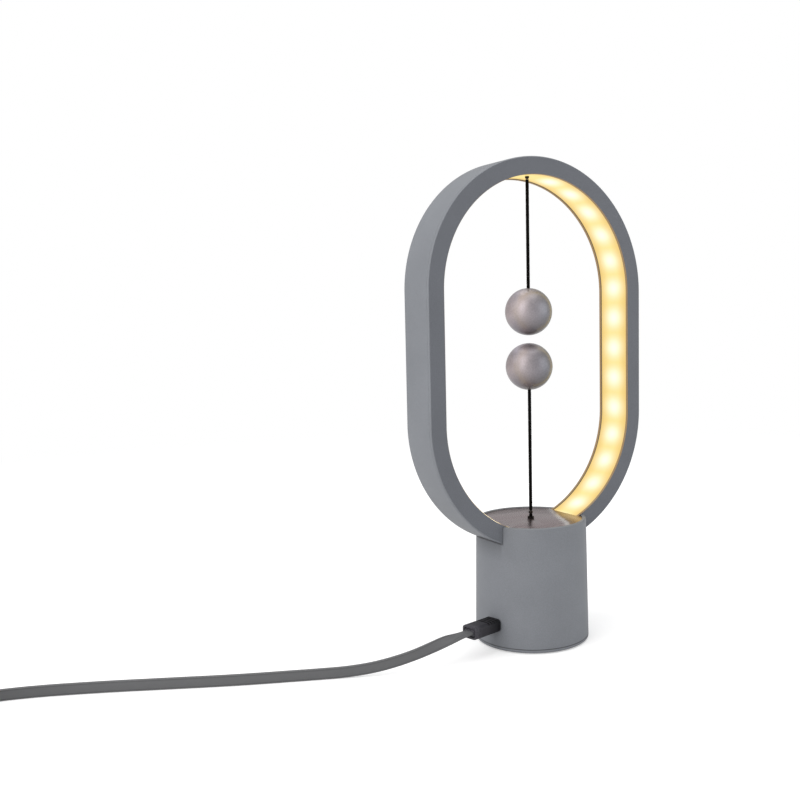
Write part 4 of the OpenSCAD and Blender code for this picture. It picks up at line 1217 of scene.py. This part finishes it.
def build_ball(side, flip, sizes, material):
    """Ball with the hole for its magnet, and the plug that closes the hole round the cord."""
    name, node, plug_node, body = "ball_" + side, side + "_ball", side + "_plug", side + "_ball_set"
    centre = middle(node)
    radius = high(node).x
    centre.z = high(node).z - radius if flip else low(node).z + radius
    rim = math.degrees(math.acos((sizes.bore + sizes.lip) / radius))
    rim_height = math.sqrt(radius ** 2 - (sizes.bore + sizes.lip) ** 2)
    floor = sizes.skin - radius
    outline = [(0, -radius)] + arc((0, 0), radius, -90, rim, 72)[1:]
    outline += [(sizes.bore, rim_height - sizes.lip), (sizes.bore, floor), (0, floor)]
    ball = lathe(name, outline, sizes.segments, centre, flip)
    finish_piece(ball, body, material, (node,))

    plug_radius = sizes.bore - PLUG_GAP
    plug_low = centre.z - high(plug_node).z if flip else low(plug_node).z - centre.z
    hole_floor = radius - PLUG_BORE_DEPTH
    start = math.degrees(math.acos(plug_radius / radius))
    end = math.degrees(math.acos((PLUG_BORE + sizes.lip) / radius))
    crown = arc((0, 0), radius - PLUG_RECESS, start, end, 8)
    outline = [(0, plug_low), (plug_radius, plug_low)] + crown + [
        (PLUG_BORE, crown[-1][1] - sizes.lip), (PLUG_BORE, hole_floor), (0, hole_floor)]
    plug = lathe(name + "_plug", outline, 64, centre, flip)
    finish_piece(plug, body, material, (plug_node,))


def build_balls(sizes, colours):
    """Both balls; the lower one hangs upside down, with painted light on its crown and a darker colour."""
    for side, flip, crown, share in (("upper", False, 1.0, 1.0), ("lower", True, 1.9, 0.93)):
        node, colour = side + "_ball", [share * c for c in colours.ball]
        material = pewter("ball_" + side + "_pewter", colour, middle(node).z, high(node).x, crown)
        build_ball(side, flip, sizes, material)


def build_cord(name, node, body, sizes, material):
    """Braided cord between a node's lowest and highest point."""
    start = low(node).z
    length = high(node).z - start
    turns = length / sizes.lay
    obj = place_mesh(name, bpy.data.meshes.new(name))
    grow(obj, BRAID_TREE, {
        "Length": length, "Radius": sizes.radius, "Strand": STRAND_RADIUS, "Turns": turns,
        "Steps": int(turns * STRAND_STEPS), "Strands": sizes.strands, "Material": material})
    obj.data.transform(Matrix.Translation((0, 0, start)))
    shade(obj.data, 60)
    finish_piece(obj, body, material, (node,))


def build_bead(name, node, body, material):
    """Round bead with a countersunk hole."""
    centre = middle(node)
    radius = (high(node).z - low(node).z) / 2
    steep = math.degrees(math.acos((BEAD_HOLE + BEAD_EDGE) / radius))
    skin = arc((0, 0), radius, -steep, steep, 20)
    dimple = skin[-1][1] - BEAD_DIMPLE
    outline = [(0, -dimple), (BEAD_HOLE, -dimple)] + skin + [(BEAD_HOLE, dimple), (0, dimple)]
    bead = lathe(name, outline, 48, centre)
    finish_piece(bead, body, material, (node,))


def build_cords(sizes, colours):
    """Three cords, two beads and the yarn of the knot that keeps its CAD shape."""
    yarn = braided("cord_yarn", colours.cord)
    for side, body in (("upper", "upper_ball_set"), ("lower", "lower_ball_set"), ("pull", "pull")):
        build_cord("cord_" + side, side + "_cord", body, sizes, yarn)
    dark = bare_metal("bead_dark", (0.03, 0.026, 0.024), 0.35)
    for use in ("hang", "stop"):
        build_bead("bead_" + use, use + "_bead", use + "_bead", dark)
    set_node_material("pull_knot", yarn)


# Plugs


def build_plugs(colours):
    """Both plugs, the large plug's shell, the coil's tie and the small plug's metal tip."""
    dark = moulded("plug_plastic", colours.plug, 0.42, 0.03 * MM, 1600)
    nickel = bare_metal("plug_nickel", (0.55, 0.54, 0.52), 0.24)
    nylon = moulded("tie_nylon", (0.012, 0.012, 0.012), 0.38)
    rear = math.hypot(*CABLE_ROUTE[0][:2]) * MM
    half_height = (high("micro_usb_plug").z - low("micro_usb_plug").z) / 2
    grip = grip_plastic("plug_grip", colours.plug, rear, middle("micro_usb_plug").z, half_height)
    set_node_material("micro_usb_tip", nickel)
    return dress_pieces([
        ("micro_usb_plug", "small_plug", 0.22 * MM, 2, "plug_plastic", grip),
        ("usb_a_plug", "large_plug", 0.3 * MM, 3, "plug_plastic", dark),
        ("usb_a_shell", "large_plug_shell", 0.1 * MM, 2, "steel", nickel),
        ("cable_tie", "coil_tie", 0.12 * MM, 2, "tie_plastic", nylon)]) + [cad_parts["micro_usb_tip"]]


# Inner parts


def dress_inner():
    """Finishes for the CAD pieces that stay: fixings, board, switch, lights and weight."""
    steel = bare_metal("zinc_steel", (0.42, 0.42, 0.41), 0.34)
    iron = bare_metal("cast_iron", (0.09, 0.088, 0.085), 0.6, 0.05 * MM, scale=500)
    nickel = bare_metal("magnet_nickel", (0.55, 0.54, 0.52), 0.2)
    black = moulded("black_nylon", (0.012, 0.012, 0.013), 0.45)
    white = moulded("white_acetal", (0.62, 0.61, 0.58), 0.4)
    rubber = moulded("pad_rubber", (0.014, 0.014, 0.014), 0.72, 0.06 * MM, 900)
    board = moulded("board_green", (0.008, 0.07, 0.03), 0.32, 0.01 * MM, 500)
    lens = moulded("light_lens", (0.75, 0.66, 0.32), 0.25)
    strip = moulded("light_strip", (0.72, 0.72, 0.69), 0.35)
    wire = moulded("wire_red", (0.36, 0.015, 0.01), 0.42)
    finishes = {
        "foot_pad": rubber, "cover_screws": steel, "counterweight": iron, "circuit_board": board,
        "board_parts": black, "usb_socket": steel, "switch_bracket": steel, "bracket_screws": steel,
        "switch_body": black, "lever_pin": steel, "lead_wires": wire, "led_strip": strip, "leds": lens,
        "ring_screws": steel, "cord_anchor": black, "switch_lever": steel, "switch_plunger": white,
        "upper_magnet": nickel, "lower_magnet": nickel}
    for node, material in finishes.items():
        set_node_material(node, material)


# Add-on


class LAMP_OT_stage(bpy.types.Operator):
    """Make the floor, the studio lamps and the camera"""
    bl_idname = "balance_lamp.stage"
    bl_label = "Stage"

    def execute(self, context):
        build_stage(context.scene.lamp_studio)
        return {"FINISHED"}


class LAMP_OT_power_lead(bpy.types.Operator):
    """Make the flat power lead with its coil"""
    bl_idname = "balance_lamp.power_lead"
    bl_label = "Power lead"

    def execute(self, context):
        scene = context.scene
        carried = build_plugs(scene.lamp_colours)
        cable, path, length = build_cable(scene.lamp_cable, scene.lamp_colours)
        return {"FINISHED"}


class LAMP_OT_ring(bpy.types.Operator):
    """Make the ring's channel and its front plate"""
    bl_idname = "balance_lamp.ring"
    bl_label = "Ring"

    def execute(self, context):
        build_ring(context.scene.lamp_ring, context.scene.lamp_colours)
        return {"FINISHED"}


class LAMP_OT_diffuser(bpy.types.Operator):
    """Make the glowing diffuser round the ring's inside"""
    bl_idname = "balance_lamp.diffuser"
    bl_label = "Diffuser"

    def execute(self, context):
        build_diffuser(context.scene.lamp_ring, context.scene.lamp_glow)
        return {"FINISHED"}


class LAMP_OT_base(bpy.types.Operator):
    """Make the base's housing, bottom, top disc and eyelet"""
    bl_idname = "balance_lamp.base"
    bl_label = "Base"

    def execute(self, context):
        build_base(context.scene.lamp_ring, context.scene.lamp_colours)
        return {"FINISHED"}


class LAMP_OT_balls(bpy.types.Operator):
    """Make the two magnetic balls with their plugs"""
    bl_idname = "balance_lamp.balls"
    bl_label = "Balls"

    def execute(self, context):
        build_balls(context.scene.lamp_balls, context.scene.lamp_colours)
        return {"FINISHED"}


class LAMP_OT_cords(bpy.types.Operator):
    """Make the braided cords and their beads"""
    bl_idname = "balance_lamp.cords"
    bl_label = "Cords"

    def execute(self, context):
        build_cords(context.scene.lamp_cords, context.scene.lamp_colours)
        return {"FINISHED"}


class LAMP_OT_inner(bpy.types.Operator):
    """Finish the inner parts that keep their CAD shapes"""
    bl_idname = "balance_lamp.inner"
    bl_label = "Inner parts"

    def execute(self, context):
        dress_inner()
        return {"FINISHED"}


GROUPS = [
    ("lamp_ring", RingSizes), ("lamp_glow", GlowSizes), ("lamp_colours", FinishColours),
    ("lamp_balls", BallSizes), ("lamp_cords", CordSizes), ("lamp_cable", CableSizes),
    ("lamp_studio", StudioSetup)]
OPERATORS = [
    LAMP_OT_stage, LAMP_OT_power_lead, LAMP_OT_ring, LAMP_OT_diffuser, LAMP_OT_base, LAMP_OT_balls,
    LAMP_OT_cords, LAMP_OT_inner]


class LAMP_PT_pieces(bpy.types.Panel):
    """Buttons that make the lamp's pieces, and their sizes"""
    bl_idname = "LAMP_PT_pieces"
    bl_label = "Balance lamp"
    bl_space_type = "VIEW_3D"
    bl_region_type = "UI"
    bl_category = "Balance lamp"

    def draw(self, context):
        for operator in OPERATORS:
            self.layout.operator(operator.bl_idname)
        for attribute, group in GROUPS:
            box = self.layout.box()
            box.label(text=group.__name__)
            for name in group.__annotations__:
                box.prop(getattr(context.scene, attribute), name)


def register():
    for attribute, group in GROUPS:
        bpy.utils.register_class(group)
        setattr(bpy.types.Scene, attribute, PointerProperty(type=group))
    for operator in OPERATORS:
        bpy.utils.register_class(operator)
    bpy.utils.register_class(LAMP_PT_pieces)


def unregister():
    bpy.utils.unregister_class(LAMP_PT_pieces)
    for operator in reversed(OPERATORS):
        bpy.utils.unregister_class(operator)
    for attribute, group in reversed(GROUPS):
        delattr(bpy.types.Scene, attribute)
        bpy.utils.unregister_class(group)


def main():
    register()
    bpy.ops.balance_lamp.stage()
    bpy.ops.balance_lamp.power_lead()
    bpy.ops.balance_lamp.ring()
    bpy.ops.balance_lamp.diffuser()
    bpy.ops.balance_lamp.base()
    bpy.ops.balance_lamp.balls()
    bpy.ops.balance_lamp.cords()
    bpy.ops.balance_lamp.inner()


if __name__ == "__main__":
    main()
